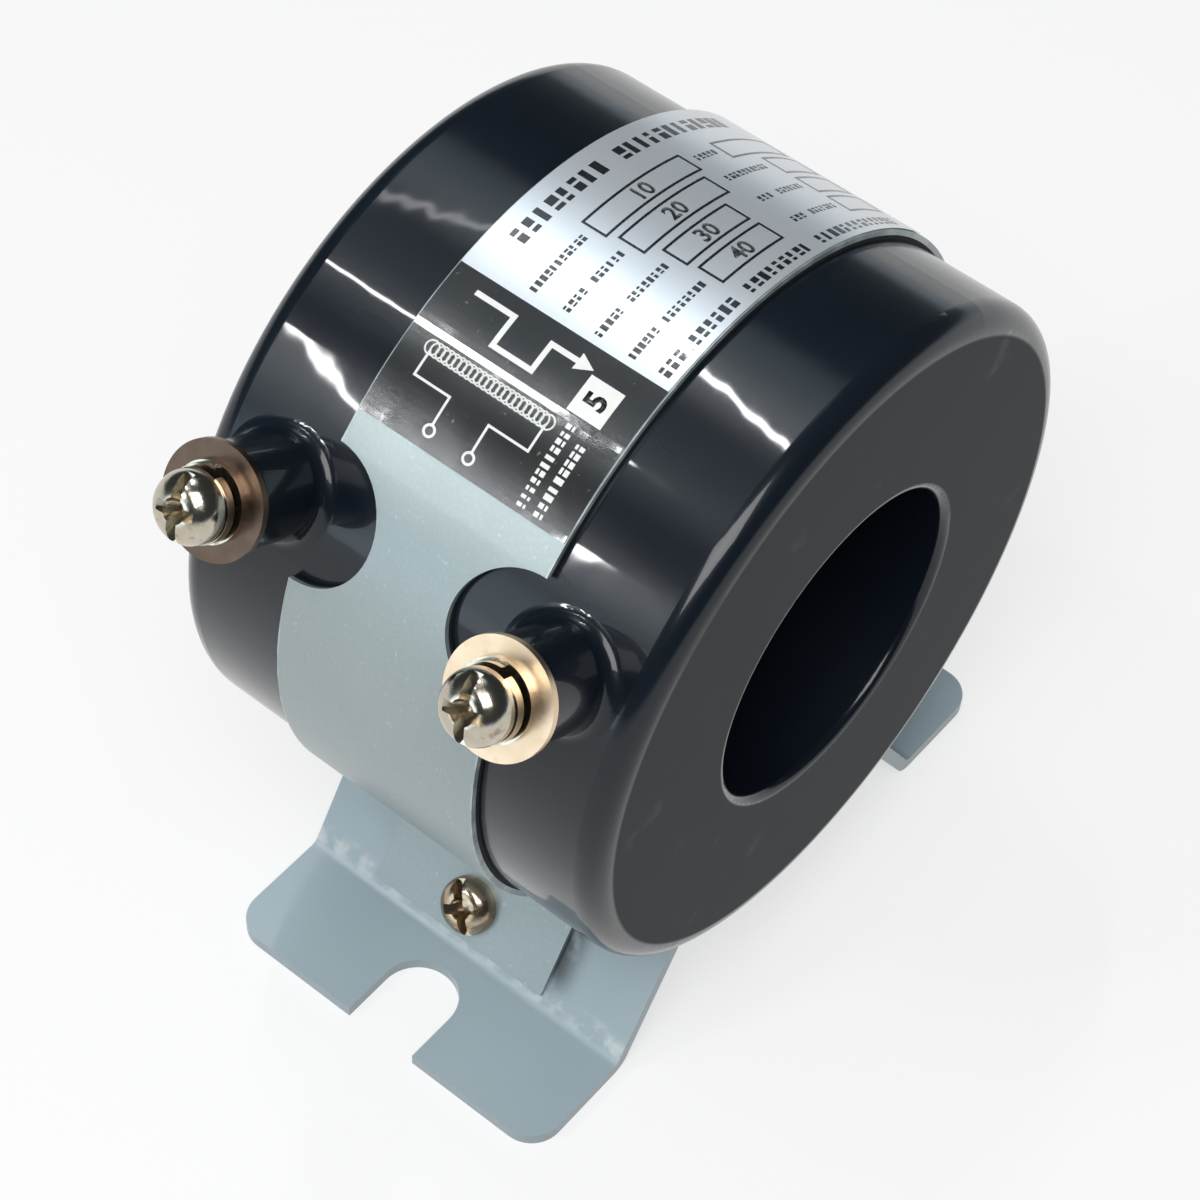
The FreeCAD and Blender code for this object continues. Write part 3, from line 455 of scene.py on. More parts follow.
def enamelled_copper():
    """Enamelled copper wire: glossy red-brown turns, 1 mm apart, that run across the ring."""
    finish = Finish(
        "enamelled_copper_wire", linear("#a4562f"), linear("#8c4526"), patch_mm=5,
        shine=(0.2, 0.32), Metallic=1.0,
    )
    axis = finish.add("ShaderNodeSeparateXYZ", {0: finish.place})
    around = finish.add("ShaderNodeMath", {0: axis["Z"], 1: axis["X"]}, operation="ARCTAN2")[0]
    wave = finish.add("ShaderNodeMath", {0: around, 1: TURNS_DRAWN}, operation="MULTIPLY")[0]
    turns = finish.add("ShaderNodeMath", {0: wave}, operation="SINE")[0]
    finish.raise_by(turns, depth_mm=0.12)
    # Painted shade: the grooves between the turns are darkened.
    groove_shade = finish.where((turns, -0.6, -0.95))
    finish.lay_over(groove_shade, linear("#4a2415"), roughness=0.5)
    return finish.material


# Plain pieces: the nodes, then name, colour, tint, patch width in mm, shine, relief and constants.
PLAIN_PIECES = (
    # Moulded nylon of the core case: ivory, slightly waxy.
    (("core_case_base", "core_case_lid"), "moulded_nylon", "#d8d4c4", "#cbc6b4", 10,
     (0.4, 0.52), (0.8, 0.01), {"Subsurface_Weight": 0.05}),
    # Wound polyester tape: amber film with 19 mm laps and a slight gloss.
    (("winding_sleeve",), "wound_polyester_tape", "#c9a23c", "#b98f2c", 19,
     (0.25, 0.4), (2.0, 0.03), {"Coat_Weight": 0.3}),
    # Cast epoxy: dark, glossy where it wetted the wall, with small pits.
    (("potting_resin",), "cast_epoxy", "#1c1d1b", "#262722", 12,
     (0.2, 0.45), (1.5, 0.04), {}),
    # Extruded PVC of the leads: soft grey-white with a dull shine.
    (("front_lead", "rear_lead"), "extruded_pvc_lead", "#b9b6ad", "#a8a59b", 4,
     (0.38, 0.5), (0.6, 0.008), {}),
    # Calendered rubber under the strap: black, dusty and dull.
    (("strap_liner",), "calendered_rubber", "#121314", "#1d1e1f", 6,
     (0.7, 0.85), (0.7, 0.03), {}),
)


def dress_plain_pieces():
    """Finish the inner pieces of plastic, tape, resin and rubber."""
    for nodes, name, colour, tint, patch_mm, shine, relief, constants in PLAIN_PIECES:
        finish = Finish(
            name, linear(colour), linear(tint), patch_mm, shine, (relief,), **constants
        )
        dress(finish.material, *nodes)


def printed_film(chosen):
    """Metallised polyester film: pale silver, soft sheen under a laminate that isn't quite flat."""
    return Finish(
        "metallised_film", chosen.silver, chosen.silver_tint, patch_mm=22, shine=(0.3, 0.4),
        relief=((14, 0.06),), Metallic=0.55, Coat_Weight=0.5, Coat_Roughness=0.15,
    ).material


def black_film(chosen):
    """Black print under the laminate: glossy, in ripples about 9 mm wide, with specks of dust."""
    finish = Finish(
        "laminated_black_print", chosen.black, linear("#1f2123"), patch_mm=9, shine=(0.2, 0.3),
        relief=((9, 0.10), (3, 0.012)), Coat_Weight=0.8, Coat_Roughness=0.06,
    )
    dust = finish.where((finish.noise(0.8, detail=3.0), 0.70, 0.76))
    finish.lay_over(dust, linear("#8b8672"), roughness=0.5, amount=0.6)
    return finish.material


def ink(name, colour, tint):
    """Screen-printed ink: flat colour of slightly uneven density under the laminate's gloss."""
    return Finish(
        name, colour, linear(tint), patch_mm=1.5, shine=(0.2, 0.34), relief=((0.6, 0.004),),
        Coat_Weight=0.4,
    ).material


# Rating film. In its flat pattern a is the distance from the low edge round the strap, and b the
# place along the window axis.


def wrap(vertex, base):
    """Bend a point of the flat pattern round the window axis."""
    angle = FILM_START - vertex.x / FILM_TOP
    radius = base + vertex.z
    return Vector((radius * math.cos(angle), vertex.y, radius * math.sin(angle)))


def print_base(chosen):
    """Return the radius on which the print lies."""
    return FILM_BASE + chosen.thickness - chosen.ink_thickness


def finish_piece(name, work, materials, base=None, thickness=None):
    """Thicken a flat pattern, bend it over the strap if base is given, and make it a piece."""
    if thickness is not None:
        bmesh.ops.remove_doubles(work, verts=work.verts, dist=WELD)
        grown = bmesh.ops.extrude_face_region(work, geom=list(work.faces))
        for item in grown["geom"]:
            if isinstance(item, bmesh.types.BMVert):
                item.co.z += thickness
    if base is not None:
        for vertex in work.verts:
            vertex.co = wrap(vertex.co, base)
    bmesh.ops.recalc_face_normals(work, faces=work.faces)
    mesh = bpy.data.meshes.new(name)
    work.to_mesh(mesh)
    work.free()
    for material in materials:
        mesh.materials.append(material)
    piece = bpy.data.objects.new(name, mesh)
    bpy.context.scene.collection.objects.link(piece)
    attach(piece, BODY)
    return piece


def add_sheet(work, a_from, a_to, b_from, b_to, index=0, step=1.0 * MM):
    """Add a flat rectangle, divided along a so that it can follow the strap."""
    parts = max(1, math.ceil(abs(a_to - a_from) / step))
    rows = []
    for part in range(parts + 1):
        a = a_from + (a_to - a_from) * part / parts
        rows.append([work.verts.new((a, b, 0)) for b in (b_from, b_to)])
    for low, high in zip(rows, rows[1:]):
        face = work.faces.new((low[0], high[0], high[1], low[1]))
        face.material_index = index


def add_line(work, start, end, width):
    """Add a flat line of a width between two points of the pattern that share a or b."""
    reach = width / 2
    lows = [min(first, second) - reach for first, second in zip(start, end)]
    highs = [max(first, second) + reach for first, second in zip(start, end)]
    add_sheet(work, lows[0], highs[0], lows[1], highs[1])


def add_frame(work, low, high, width):
    """Add a printed box: four lines that meet at the corners without lying on each other."""
    reach = width / 2
    for a in (low[0], high[0]):
        add_sheet(work, a - reach, a + reach, low[1] - reach, high[1] + reach)
    for b in (low[1], high[1]):
        add_sheet(work, low[0] + reach, high[0] - reach, b - reach, b + reach)


def add_ring(work, centre, radius, width, count=24):
    """Add a flat ring."""
    reach = width / 2
    points = []
    for step in range(count):
        turn = 2 * math.pi * step / count
        way = Vector((math.cos(turn), math.sin(turn), 0))
        middle = Vector((*centre, 0))
        points.append([work.verts.new(middle + way * r) for r in (radius - reach, radius + reach)])
    for this, following in zip(points, points[1:] + points[:1]):
        work.faces.new((this[0], this[1], following[1], following[0]))


def add_triangle(work, corners):
    """Add a flat triangle."""
    work.faces.new([work.verts.new((*corner, 0)) for corner in corners])


def add_word(work, start, end, middle, height):
    """Add a row of small blocks in the place of a printed word."""
    pitch = (end - start) / max(1, round((end - start) / height / LETTER_PITCH))
    left = start
    while left < end - pitch / 2:
        right = left + pitch * random.uniform(*BLOCK_WIDTHS)
        for low, high in random.choice(BLOCK_PARTS):
            add_sheet(work, left, right, middle + low * height, middle + high * height)
        left += pitch


def plain_mesh(carrier):
    """Return what a carrier shows as a plain mesh, and remove the carrier."""
    bpy.context.scene.collection.objects.link(carrier)
    depsgraph = bpy.context.evaluated_depsgraph_get()
    shown = carrier.evaluated_get(depsgraph)
    mesh = bpy.data.meshes.new_from_object(shown, depsgraph=depsgraph)
    bpy.data.objects.remove(carrier)
    return mesh


def add_number(work, text, box, height, growth):
    """Add a plain number with thickened strokes in the middle of a box of the pattern."""
    curve = bpy.data.curves.new("number", "FONT")
    curve.body = text
    curve.size = height / DIGIT_SHARE
    curve.resolution_u = 3
    curve.offset = growth
    mesh = plain_mesh(bpy.data.objects.new("number", curve))
    xs = [vertex.co.x for vertex in mesh.vertices]
    ys = [vertex.co.y for vertex in mesh.vertices]
    middle = Vector(((min(xs) + max(xs)) / 2, (min(ys) + max(ys)) / 2, 0))
    centre = Vector(((box[0] + box[1]) / 2, (box[2] + box[3]) / 2, 0))
    mesh.transform(Matrix.Translation(centre - middle))
    work.from_mesh(mesh)
    bpy.data.curves.remove(curve)
    bpy.data.meshes.remove(mesh)


def millimetres(*values):
    """Return lengths given in millimetres as metres."""
    return [value * MM for value in values]


# Rows of blocks stand in the places of the words: (start, end, middle, height) in mm of the
# pattern. LETTER_PITCH is the pitch of the blocks as a share of the height, and BLOCK_WIDTHS
# their narrowest and widest share of the pitch.
LETTER_PITCH = 0.86
BLOCK_WIDTHS = (0.42, 0.74)
# A block is whole or parted by a slit: each part's low and high end as shares of the height.
BLOCK_PARTS = (((-0.5, 0.5),), ((-0.5, -0.23), (-0.05, 0.5)), ((-0.5, 0.03), (0.21, 0.5)))
BLOCK_SEED = 12
DARK_WORDS = [
    (28.5, 46.0, 12.6, 2.5), (48.5, 74.0, 12.6, 2.5),
    (23.6, 38.0, -14.4, 1.7), (40.0, 53.0, -14.4, 1.7), (55.0, 76.0, -14.4, 1.7),
    (23.8, 34.2, 6.2, 1.1), (56.7, 61.4, 6.2, 1.1),
    (23.9, 28.0, 1.0, 1.1), (29.2, 35.2, 1.0, 1.1), (56.3, 66.0, 1.0, 1.1),
    (23.4, 28.4, -4.4, 1.1), (29.6, 37.0, -4.4, 1.1), (56.1, 59.2, -4.4, 1.1),
    (60.4, 66.6, -4.4, 1.1),
    (23.3, 28.6, -9.7, 1.1), (29.8, 37.6, -9.7, 1.1), (56.0, 59.0, -9.7, 1.1),
    (60.2, 66.6, -9.7, 1.1),
]
PALE_WORDS = [(0.8, 12.8, -9.0, 1.3), (0.8, 11.4, -11.6, 1.3)]
# Boxes: (start, end, low side, high side) in mm of the pattern, and the number inside.
BOXES = [
    ((35.6, 55.0, 4.2, 7.9), "10"), ((36.5, 53.8, -1.1, 2.8), "20"),
    ((38.4, 51.1, -6.3, -2.6), "30"), ((39.0, 51.3, -11.4, -7.7), "40"),
    ((62.6, 78.0, 4.2, 7.9), ""), ((68.0, 78.0, -1.1, 2.8), ""),
    ((68.0, 78.0, -6.3, -2.6), ""), ((68.0, 78.0, -11.4, -7.7), ""),
]
# Circuit symbol on the black field: each path is a list of corners in mm.
FIRST_LEAD = [(10.6, 12.2), (7.2, 12.2), (7.2, 6.5), (3.2, 6.5)]
SECOND_LEAD = [(10.6, -6.1), (6.9, -6.1), (6.9, 0.1), (3.0, 0.1)]
PRIMARY_LINE = [(19.8, 11.6), (19.8, 5.8), (15.3, 5.8), (15.3, -0.4), (19.4, -0.4), (19.4, -4.4)]
ARROW_HEAD = [(18.2, -4.5), (19.4, -7.0), (20.6, -4.5)]
TERMINAL_RINGS = [(2.4, 6.5), (2.2, 0.1)]
TERMINAL_RING_RADIUS = 0.75
COIL_ENDS = [(11.1, 12.2), (11.1, -6.1)]
CORE_BAR = (12.6, 13.5, -5.8, 12.8)
WHITE_BOX = (13.7, 18.9, -12.3, -7.1)
WHITE_BOX_NUMBER = "5"


def start_tree(name, inputs):
    """Start a geometry tree with named inputs; return its nodes and the inputs' sockets."""
    tree = bpy.data.node_groups.new(name, "GeometryNodeTree")
    tree.interface.new_socket("Geometry", in_out="OUTPUT", socket_type="NodeSocketGeometry")
    for label, kind in inputs.items():
        tree.interface.new_socket(label, in_out="INPUT", socket_type=kind)
    nodes = Nodes(tree)
    return nodes, nodes.add("NodeGroupInput")


def end_tree(nodes, geometry, material):
    """Make the instances real, give them their material and return the finished tree."""
    real = nodes.add("GeometryNodeRealizeInstances", {"Geometry": geometry})["Geometry"]
    dressed = nodes.add("GeometryNodeSetMaterial", {"Geometry": real, "Material": material})
    nodes.add("NodeGroupOutput", {"Geometry": dressed["Geometry"]})
    return nodes.tree


def coil_tree(material):
    """Build the nodes that repeat a flat loop along the coil symbol."""
    nodes, given = start_tree("coil_symbol_loops", {
        "Loops": "NodeSocketInt", "Spacing": "NodeSocketFloat",
        "Loop radius": "NodeSocketFloat", "Line width": "NodeSocketFloat",
    })
    along = nodes.add("ShaderNodeCombineXYZ", {"Y": given["Spacing"]})[0]
    line = nodes.add("GeometryNodeMeshLine", {"Count": given["Loops"], "Offset": along})
    path = nodes.add(
        "GeometryNodeCurvePrimitiveCircle", {"Resolution": 14, "Radius": given["Loop radius"]}
    )
    across = nodes.add(
        "GeometryNodeCurvePrimitiveLine",
        {"Direction": (1, 0, 0), "Length": given["Line width"]}, mode="DIRECTION",
    )
    loop = nodes.add(
        "GeometryNodeCurveToMesh", {"Curve": path["Curve"], "Profile Curve": across["Curve"]}
    )
    spread = nodes.add(
        "GeometryNodeInstanceOnPoints", {"Points": line["Mesh"], "Instance": loop["Mesh"]}
    )
    return end_tree(nodes, spread["Instances"], material)


def thread_tree(material):
    """Build the nodes that run a pointed thread form along a helix."""
    names = ("Turns", "Radius", "Length", "Depth")
    nodes, given = start_tree("helical_thread", dict.fromkeys(names, "NodeSocketFloat"))
    helix = nodes.add("GeometryNodeCurveSpiral", {
        "Resolution": 32, "Rotations": given["Turns"], "Start Radius": given["Radius"],
        "End Radius": given["Radius"], "Height": given["Length"],
    })
    form = nodes.add(
        "GeometryNodeCurvePrimitiveCircle", {"Resolution": 6, "Radius": given["Depth"]}
    )
    ridge = nodes.add("GeometryNodeCurveToMesh", {
        "Curve": helix["Curve"], "Profile Curve": form["Curve"], "Fill Caps": True,
    })
    return end_tree(nodes, ridge["Mesh"], material)


def run_tree(tree, inputs):
    """Evaluate a node tree once with its named inputs and return the plain mesh."""
    carrier = bpy.data.objects.new("tree_carrier", bpy.data.meshes.new("tree_carrier"))
    modifier = carrier.modifiers.new("tree", "NODES")
    modifier.node_group = tree
    identifiers = {
        item.name: item.identifier
        for item in tree.interface.items_tree if item.in_out == "INPUT"
    }
    for name, value in inputs.items():
        modifier[identifiers[name]] = value
    mesh = plain_mesh(carrier)
    if not mesh.vertices:
        raise RuntimeError(f"{tree.name} made no mesh")
    return mesh


# The camera as fitted to the photograph: its place in mm, and its forward and up directions.
CAMERA_PLACE = (-232.654, -169.087, 344.384)
CAMERA_FORWARD = (0.497304, 0.369290, -0.785056)
CAMERA_UP = (0.592010, 0.517030, 0.618227)
# The key softbox: its middle, half its long side and its width in metres.
KEY_PLACE = (-0.50, -0.25, 0.95)
KEY_HALF = (0.28, -0.2, 0)
KEY_WIDTH = 0.6
# Strip lights: each runs between two directions seen from the window's centre; then its width in
# metres and its share of the brightness.
STRIPS = {
    "strip_rear": ((-0.31, 0.49, 0.82), (-0.36, 0.36, 0.86), 0.015, 1.0),
    "strip_front": ((0.27, 0.385, 0.88), (0.05, 0.295, 0.97), 0.016, 1.0),
    "strip_side": ((-0.60, 0.48, 0.64), (-0.70, 0.45, 0.55), 0.018, 0.9),
    "strip_middle": ((-0.70, 0.45, 0.55), (-0.79, 0.38, 0.49), 0.018, 0.9),
    "strip_low": ((-0.79, 0.38, 0.49), (-0.72, 0.35, 0.60), 0.018, 0.9),
    "strip_top": ((-0.06, 0.50, 0.87), (0.25, 0.44, 0.86), 0.010, 0.12),
}
# Soft glows that gloss sees on the ceiling: direction, inner and outer angle in degrees,
# brightness.
GLOWS = (
    ((-0.25, 0.45, 0.86), 2, 18, 0.7),
    ((0.33, 0.40, 0.85), 2, 17, 1.5),
    ((-0.78, 0.42, 0.46), 3, 16, 1.3),
    ((-0.93, 0.37, 0.12), 2, 15, 2.6),
)


class TRANSFORMER_OT_stage(bpy.types.Operator):
    """Put up the floor, the lights, the surroundings and the camera"""

    bl_idname = "transformer.stage"
    bl_label = "Stage"

    def execute(self, context):
        chosen = settings().stage
        scene = context.scene
        scene.view_settings.view_transform = "Standard"
        self.add_camera(scene, chosen)
        self.add_floor(scene, chosen)
        self.add_surroundings(scene, chosen)
        self.add_lamps(scene, chosen)
        return {"FINISHED"}

    def add_camera(self, scene, chosen):
        """Place the camera where the photograph was taken."""
        forward = Vector(CAMERA_FORWARD)
        up = Vector(CAMERA_UP)
        turned = Matrix((forward.cross(up), up, -forward)).transposed().to_4x4()
        lens = bpy.data.cameras.new("camera")
        lens.lens = chosen.lens
        lens.sensor_width = 36
        lens.clip_start = 0.01
        camera = bpy.data.objects.new("camera", lens)
        camera.matrix_world = Matrix.Translation(Vector(CAMERA_PLACE) * MM) @ turned
        scene.collection.objects.link(camera)
        scene.camera = camera

    def add_floor(self, scene, chosen):
        """Lay a pale floor under the bracket that keeps the soft shadow."""
        reach = chosen.floor_size / 2
        height = FLOOR_HEIGHT - FLOOR_GAP
        corners = [(-reach, -reach), (reach, -reach), (reach, reach), (-reach, reach)]
        mesh = bpy.data.meshes.new("floor")
        mesh.from_pydata([(x, y, height) for x, y in corners], [], [(0, 1, 2, 3)])
        material = bpy.data.materials.new("matt_studio_floor")
        material.use_nodes = True
        nodes = Nodes(material.node_tree)
        nodes.tree.nodes.remove(nodes.tree.nodes["Principled BSDF"])
        rays = nodes.add("ShaderNodeLightPath")
        tone = nodes.add(
            "ShaderNodeMix", {0: rays["Is Diffuse Ray"], 6: chosen.floor, 7: chosen.floor_bounce},
            data_type="RGBA",
        )[2]
        paint = nodes.add("ShaderNodeBsdfDiffuse", {"Color": tone})[0]
        white = nodes.add("ShaderNodeEmission", {"Strength": 1.0})[0]
        # Seen directly, in gloss or through glass, the floor turns plain white away from the part.
        place = nodes.add("ShaderNodeTexCoord")["Object"]
        distance = nodes.add("ShaderNodeVectorMath", {0: place}, operation="LENGTH")["Value"]
        whiter = nodes.add("ShaderNodeMapRange", {
            "Value": distance, "From Min": chosen.floor_near, "From Max": chosen.floor_far,
            "To Min": chosen.floor_glow,
        }, interpolation_type="SMOOTHSTEP")[0]
        seen = rays["Is Camera Ray"]
        for ray in ("Is Glossy Ray", "Is Transmission Ray"):
            seen = nodes.add("ShaderNodeMath", {0: seen, 1: rays[ray]}, operation="MAXIMUM")[0]
        share = nodes.add("ShaderNodeMath", {0: seen, 1: whiter}, operation="MULTIPLY")[0]
        mixed = nodes.add("ShaderNodeMixShader", {0: share, 1: paint, 2: white})[0]
        nodes.tree.links.new(mixed, nodes.tree.nodes["Material Output"].inputs["Surface"])
        mesh.materials.append(material)
        floor = bpy.data.objects.new("floor", mesh)
        scene.collection.objects.link(floor)

    def add_surroundings(self, scene, chosen):
        """Light the object evenly; gloss sees a white horizon and soft glows on a dim ceiling."""
        world = bpy.data.worlds.new("studio")
        scene.world = world
        world.use_nodes = True
        nodes = Nodes(world.node_tree)
        rays = nodes.add("ShaderNodeLightPath")
        glossy = rays["Is Glossy Ray"]
        way = nodes.add("ShaderNodeTexCoord")["Generated"]
        height = nodes.add("ShaderNodeSeparateXYZ", {0: way})[2]
        ceiling = nodes.add("ShaderNodeMapRange", {
            "Value": height, "From Max": chosen.horizon, "To Min": 1.0,
            "To Max": chosen.dim_ceiling,
        }, interpolation_type="SMOOTHSTEP")[0]
        for direction, inner, outer, brightness in GLOWS:
            sockets = {0: way, 1: Vector(direction).normalized()}
            near = nodes.add("ShaderNodeVectorMath", sockets, operation="DOT_PRODUCT")["Value"]
            start, end = (math.cos(math.radians(angle)) for angle in (outer, inner))
            glow = nodes.add("ShaderNodeMapRange", {
                "Value": near, "From Min": start, "From Max": end, "To Max": brightness,
            }, interpolation_type="SMOOTHSTEP")[0]
            ceiling = nodes.add("ShaderNodeMath", {0: ceiling, 1: glow}, operation="ADD")[0]
        lit = nodes.add("ShaderNodeMix", {0: glossy, 2: chosen.ambient, 3: ceiling})[0]
        sockets = {0: rays["Is Camera Ray"], 1: rays["Is Transmission Ray"]}
        seen = nodes.add("ShaderNodeMath", sockets, operation="MAXIMUM")[0]
        strength = nodes.add("ShaderNodeMix", {0: seen, 2: lit, 3: 1.0})[0]
        tone = nodes.add(
            "ShaderNodeMix", {0: glossy, 6: (1, 1, 1, 1), 7: chosen.glow_tint}, data_type="RGBA"
        )[2]
        background = nodes.tree.nodes["Background"].inputs
        nodes.tree.links.new(tone, background["Color"])
        nodes.tree.links.new(strength, background["Strength"])

    def add_lamp(self, scene, name, start, end, width, power):
        """Hang a flat lamp between two places, facing the object."""
        middle = (start + end) / 2
        along = end - start
        lamp = bpy.data.lights.new(name, "AREA")
        lamp.shape = "RECTANGLE"
        lamp.size = width
        lamp.size_y = along.length
        lamp.energy = power
        facing = middle.normalized()
        side = along.normalized().cross(facing).normalized()
        turned = Matrix((side, facing.cross(side), facing)).transposed().to_4x4()
        holder = bpy.data.objects.new(name, lamp)
        holder.matrix_world = Matrix.Translation(middle) @ turned
        scene.collection.objects.link(holder)

    def add_lamps(self, scene, chosen):
        """Hang the key softbox and the strips that draw lines along the glossy shells."""
        place = Vector(KEY_PLACE)
        half = Vector(KEY_HALF)
        self.add_lamp(scene, "key", place - half, place + half, KEY_WIDTH, chosen.key)
        for name, (*directions, width, share) in STRIPS.items():
            start, end = (
                Vector(direction).normalized() * chosen.strip_distance for direction in directions
            )
            # An area lamp's radiance is its power over pi times its area.
            area = width * (end - start).length
            power = chosen.strip_radiance * share * math.pi * area
            self.add_lamp(scene, name, start, end, width, power)


class TRANSFORMER_OT_housing(bpy.types.Operator):
    """Finish the two moulded half shells"""

    bl_idname = "transformer.housing"
    bl_label = "Housing"

    def execute(self, context):
        dress(moulded_abs(settings().housing), "front_half_shell", "rear_half_shell")
        return {"FINISHED"}


class TRANSFORMER_OT_inner_parts(bpy.types.Operator):
    """Finish the core, winding, resin, inserts and leads in the housing, and the rubber liner"""

    bl_idname = "transformer.inner_parts"
    bl_label = "Inner parts"

    def execute(self, context):
        dress(wound_strip_steel(), "wound_core")
        dress(enamelled_copper(), "secondary_winding")
        dress(machined_brass(), "front_terminal_insert", "rear_terminal_insert")
        dress_plain_pieces()
        return {"FINISHED"}


class TRANSFORMER_OT_fasteners(bpy.types.Operator):
    """Finish the terminal screws, ear screws, nuts and washers"""

    bl_idname = "transformer.fasteners"
    bl_label = "Fasteners"

    def execute(self, context):
        chosen = settings().metal
        for setting, name, tint, shine, stained, nodes in PLATED_PIECES:
            dress(plated_steel(name, getattr(chosen, setting), tint, shine, stained), *nodes)
        return {"FINISHED"}


class TRANSFORMER_OT_ear_threads(bpy.types.Operator):
    """Run a thread round the free end of each ear screw"""

    bl_idname = "transformer.ear_threads"
    bl_label = "Ear threads"

    def execute(self, context):
        chosen = settings().thread
        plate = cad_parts["left_ear_screw"].data.materials[0]
        tree = thread_tree(plate)
        for side in ("left", "right"):
            nut_low, nut_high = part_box(f"{side}_ear_nut")
            screw_low, screw_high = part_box(f"{side}_ear_screw")
            nut = (nut_low + nut_high) / 2
            screw = (screw_low + screw_high) / 2
            outward = Vector((screw.x - nut.x, 0, screw.z - nut.z)).normalized()
            mesh = run_tree(tree, {
                "Turns": chosen.length / chosen.pitch, "Radius": chosen.radius - chosen.depth,
                "Length": chosen.length, "Depth": chosen.depth,
            })
            turn = Vector((0, 0, 1)).rotation_difference(-outward).to_matrix().to_4x4()
            mesh.transform(Matrix.Translation(nut - outward * chosen.start) @ turn)
            work = bmesh.new()
            work.from_mesh(mesh)
            finish_piece(f"{side}_ear_thread", work, [plate])
        return {"FINISHED"}


class TRANSFORMER_OT_strap(bpy.types.Operator):
    """Finish the clamp strap"""

    bl_idname = "transformer.strap"
    bl_label = "Strap"

    def execute(self, context):
        dress(painted_strap(settings().metal), "clamp_strap")
        return {"FINISHED"}


class TRANSFORMER_OT_bracket(bpy.types.Operator):
    """Finish the saddle bracket"""

    bl_idname = "transformer.bracket"
    bl_label = "Bracket"

    def execute(self, context):
        dress(painted_bracket(settings().metal), "saddle_bracket")
        return {"FINISHED"}


class TRANSFORMER_OT_rating_film(bpy.types.Operator):
    """Lay the two-colour film on the strap in place of the plain one"""

    bl_idname = "transformer.rating_film"
    bl_label = "Rating film"

    def execute(self, context):
        chosen = settings().film
        work = bmesh.new()
        side = FILM_HIGH.y
        add_sheet(work, 0, chosen.border, -side, side, 0)
        add_sheet(work, chosen.border, FILM_LENGTH, -side, side, 1)
        materials = [black_film(chosen), printed_film(chosen)]
        film = finish_piece(
            "rating_film", work, materials, FILM_BASE,
            chosen.thickness - chosen.ink_thickness,
        )
        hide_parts("rating_label")
        dress(materials[1], "rating_label")
        return {"FINISHED"}


class TRANSFORMER_OT_film_print(bpy.types.Operator):
    """Print the blocks, boxes, plain numbers and circuit lines on the film"""

    bl_idname = "transformer.film_print"
    bl_label = "Film print"

    def execute(self, context):
        chosen = settings().film
        base = print_base(chosen)
        dark = ink("dark_screen_ink", chosen.dark_ink, "#24262c")
        pale = ink("pale_screen_ink", chosen.pale_ink, "#dfe2df")
        random.seed(BLOCK_SEED)
        work = bmesh.new()
        for word in DARK_WORDS:
            add_word(work, *millimetres(*word))
        for box, number in BOXES:
            box = millimetres(*box)
            add_frame(work, (box[0], box[2]), (box[1], box[3]), chosen.line_width)
            if number:
                add_number(work, number, box, chosen.digit_height, chosen.digit_growth)
        finish_piece("dark_print", work, [dark], base, chosen.ink_thickness)
        work = bmesh.new()
        for path, width in (
            (FIRST_LEAD, chosen.circuit_width), (SECOND_LEAD, chosen.circuit_width),
            (PRIMARY_LINE, chosen.primary_width),
        ):
            for start, end in zip(path, path[1:]):
                add_line(work, millimetres(*start), millimetres(*end), width)
        for centre in TERMINAL_RINGS:
            add_ring(
                work, millimetres(*centre), TERMINAL_RING_RADIUS * MM, chosen.circuit_width
            )
        add_triangle(work, [millimetres(*corner) for corner in ARROW_HEAD])
        for word in PALE_WORDS:
            add_word(work, *millimetres(*word))
        for area in (CORE_BAR, WHITE_BOX):
            add_sheet(work, *millimetres(*area))
        finish_piece("pale_print", work, [pale], base, chosen.ink_thickness)
        work = bmesh.new()
        add_number(
            work, WHITE_BOX_NUMBER, millimetres(*WHITE_BOX), chosen.white_box_height,
            chosen.white_box_growth,
        )
        finish_piece(
            "box_number", work, [dark], base + chosen.ink_thickness,
            chosen.ink_thickness / 2,
        )
        return {"FINISHED"}


class TRANSFORMER_OT_coil_symbol(bpy.types.Operator):
    """Print the row of loops that stands for the winding"""

    bl_idname = "transformer.coil_symbol"
    bl_label = "Coil symbol"

    def execute(self, context):
        chosen = settings().film
        pale = bpy.data.materials["pale_screen_ink"]
        first, last = (millimetres(*end) for end in COIL_ENDS)
        spacing = (last[1] - first[1]) / (chosen.coil_loops - 1)
        mesh = run_tree(coil_tree(pale), {
            "Loops": chosen.coil_loops, "Spacing": spacing,
            "Loop radius": chosen.coil_radius, "Line width": chosen.coil_line,
        })
        mesh.transform(Matrix.Translation((first[0], first[1], 0)))
        work = bmesh.new()
        work.from_mesh(mesh)
        for vertex in work.verts:
            vertex.co.z = 0
        finish_piece(
            "coil_symbol", work, [pale], print_base(chosen), chosen.ink_thickness
        )
        return {"FINISHED"}


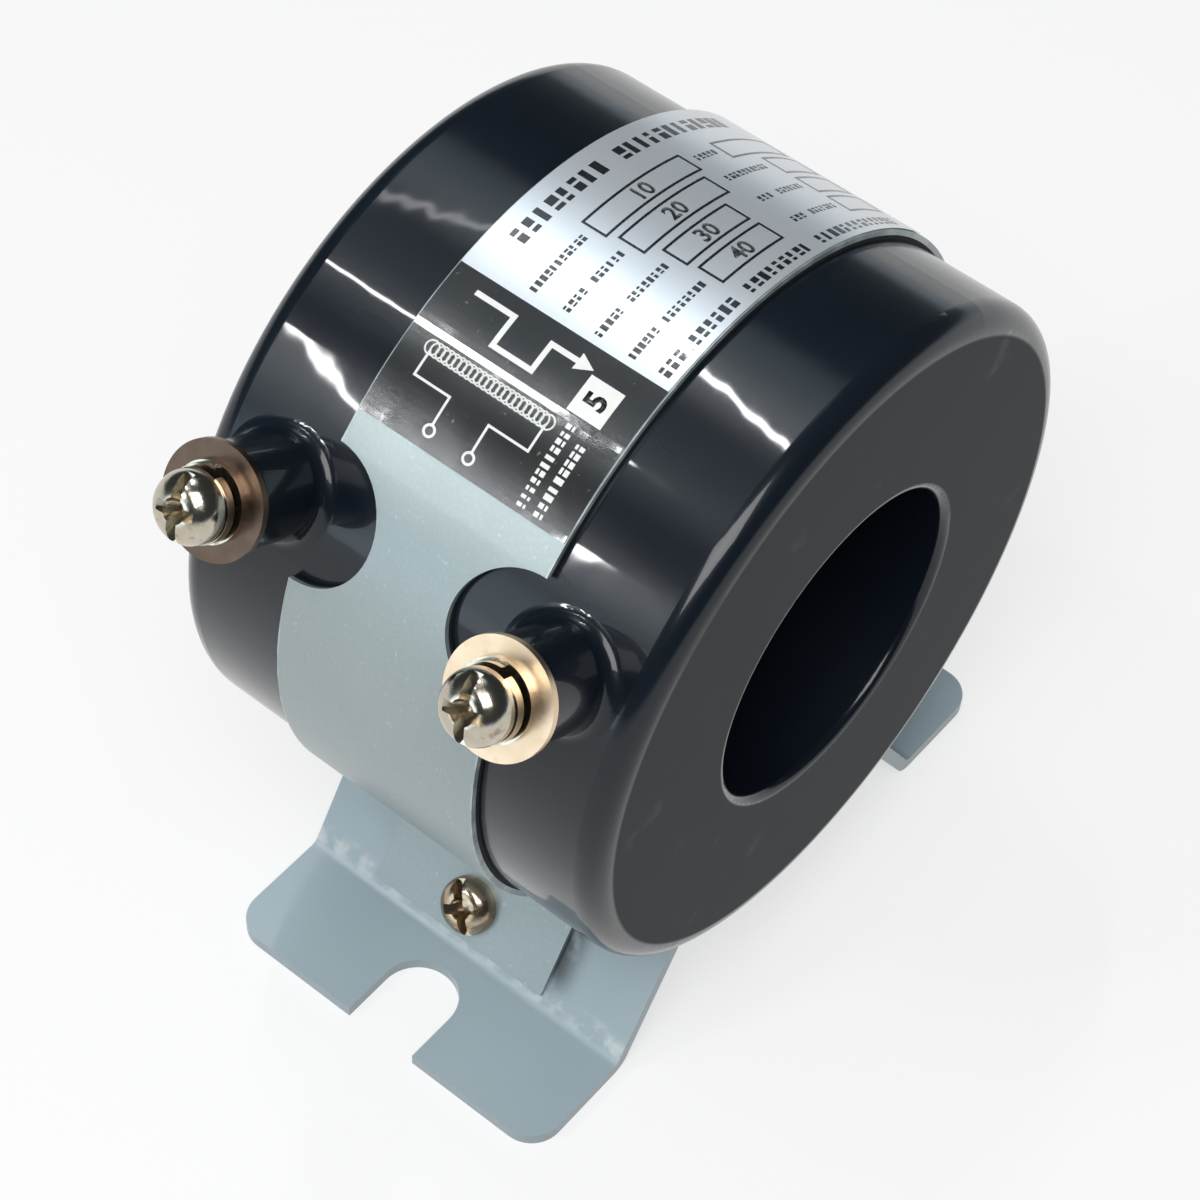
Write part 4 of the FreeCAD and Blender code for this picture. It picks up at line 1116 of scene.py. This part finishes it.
class TRANSFORMER_PT_panel(bpy.types.Panel):
    """Sidebar panel with the pieces of the current transformer"""

    bl_idname = "TRANSFORMER_PT_panel"
    bl_label = "Current transformer"
    bl_space_type = "VIEW_3D"
    bl_region_type = "UI"
    bl_category = "Transformer"

    def draw(self, context):
        for operator in OPERATORS:
            self.layout.operator(operator.bl_idname)
        for group in SETTING_GROUPS:
            box = self.layout.box()
            chosen = getattr(context.scene.transformer, group)
            for name in chosen.bl_rna.properties.keys():
                if name not in ("rna_type", "name"):
                    box.prop(chosen, name)


class TransformerSettings(bpy.types.PropertyGroup):
    housing: PointerProperty(type=HousingSettings, name="Housing", description="Half shells")
    metal: PointerProperty(
        type=MetalSettings, name="Metal", description="Strap, bracket and fasteners"
    )
    film: PointerProperty(type=FilmSettings, name="Film", description="Rating film and its print")
    thread: PointerProperty(type=ThreadSettings, name="Thread", description="Ear screw threads")
    stage: PointerProperty(type=StageSettings, name="Stage", description="Floor, lights and camera")


SETTING_GROUPS = ("housing", "metal", "film", "thread", "stage")

OPERATORS = (
    TRANSFORMER_OT_stage, TRANSFORMER_OT_housing, TRANSFORMER_OT_inner_parts,
    TRANSFORMER_OT_fasteners, TRANSFORMER_OT_ear_threads, TRANSFORMER_OT_strap,
    TRANSFORMER_OT_bracket, TRANSFORMER_OT_rating_film, TRANSFORMER_OT_film_print,
    TRANSFORMER_OT_coil_symbol,
)

CLASSES = (
    HousingSettings, MetalSettings, FilmSettings, ThreadSettings, StageSettings,
    TransformerSettings, *OPERATORS, TRANSFORMER_PT_panel,
)


def register():
    for item in CLASSES:
        bpy.utils.register_class(item)
    bpy.types.Scene.transformer = PointerProperty(type=TransformerSettings)


def unregister():
    del bpy.types.Scene.transformer
    for item in reversed(CLASSES):
        bpy.utils.unregister_class(item)


def main():
    register()
    bpy.ops.transformer.stage()
    bpy.ops.transformer.housing()
    bpy.ops.transformer.inner_parts()
    bpy.ops.transformer.fasteners()
    bpy.ops.transformer.ear_threads()
    bpy.ops.transformer.strap()
    bpy.ops.transformer.bracket()
    bpy.ops.transformer.rating_film()
    bpy.ops.transformer.film_print()
    bpy.ops.transformer.coil_symbol()


if __name__ == "__main__":
    main()
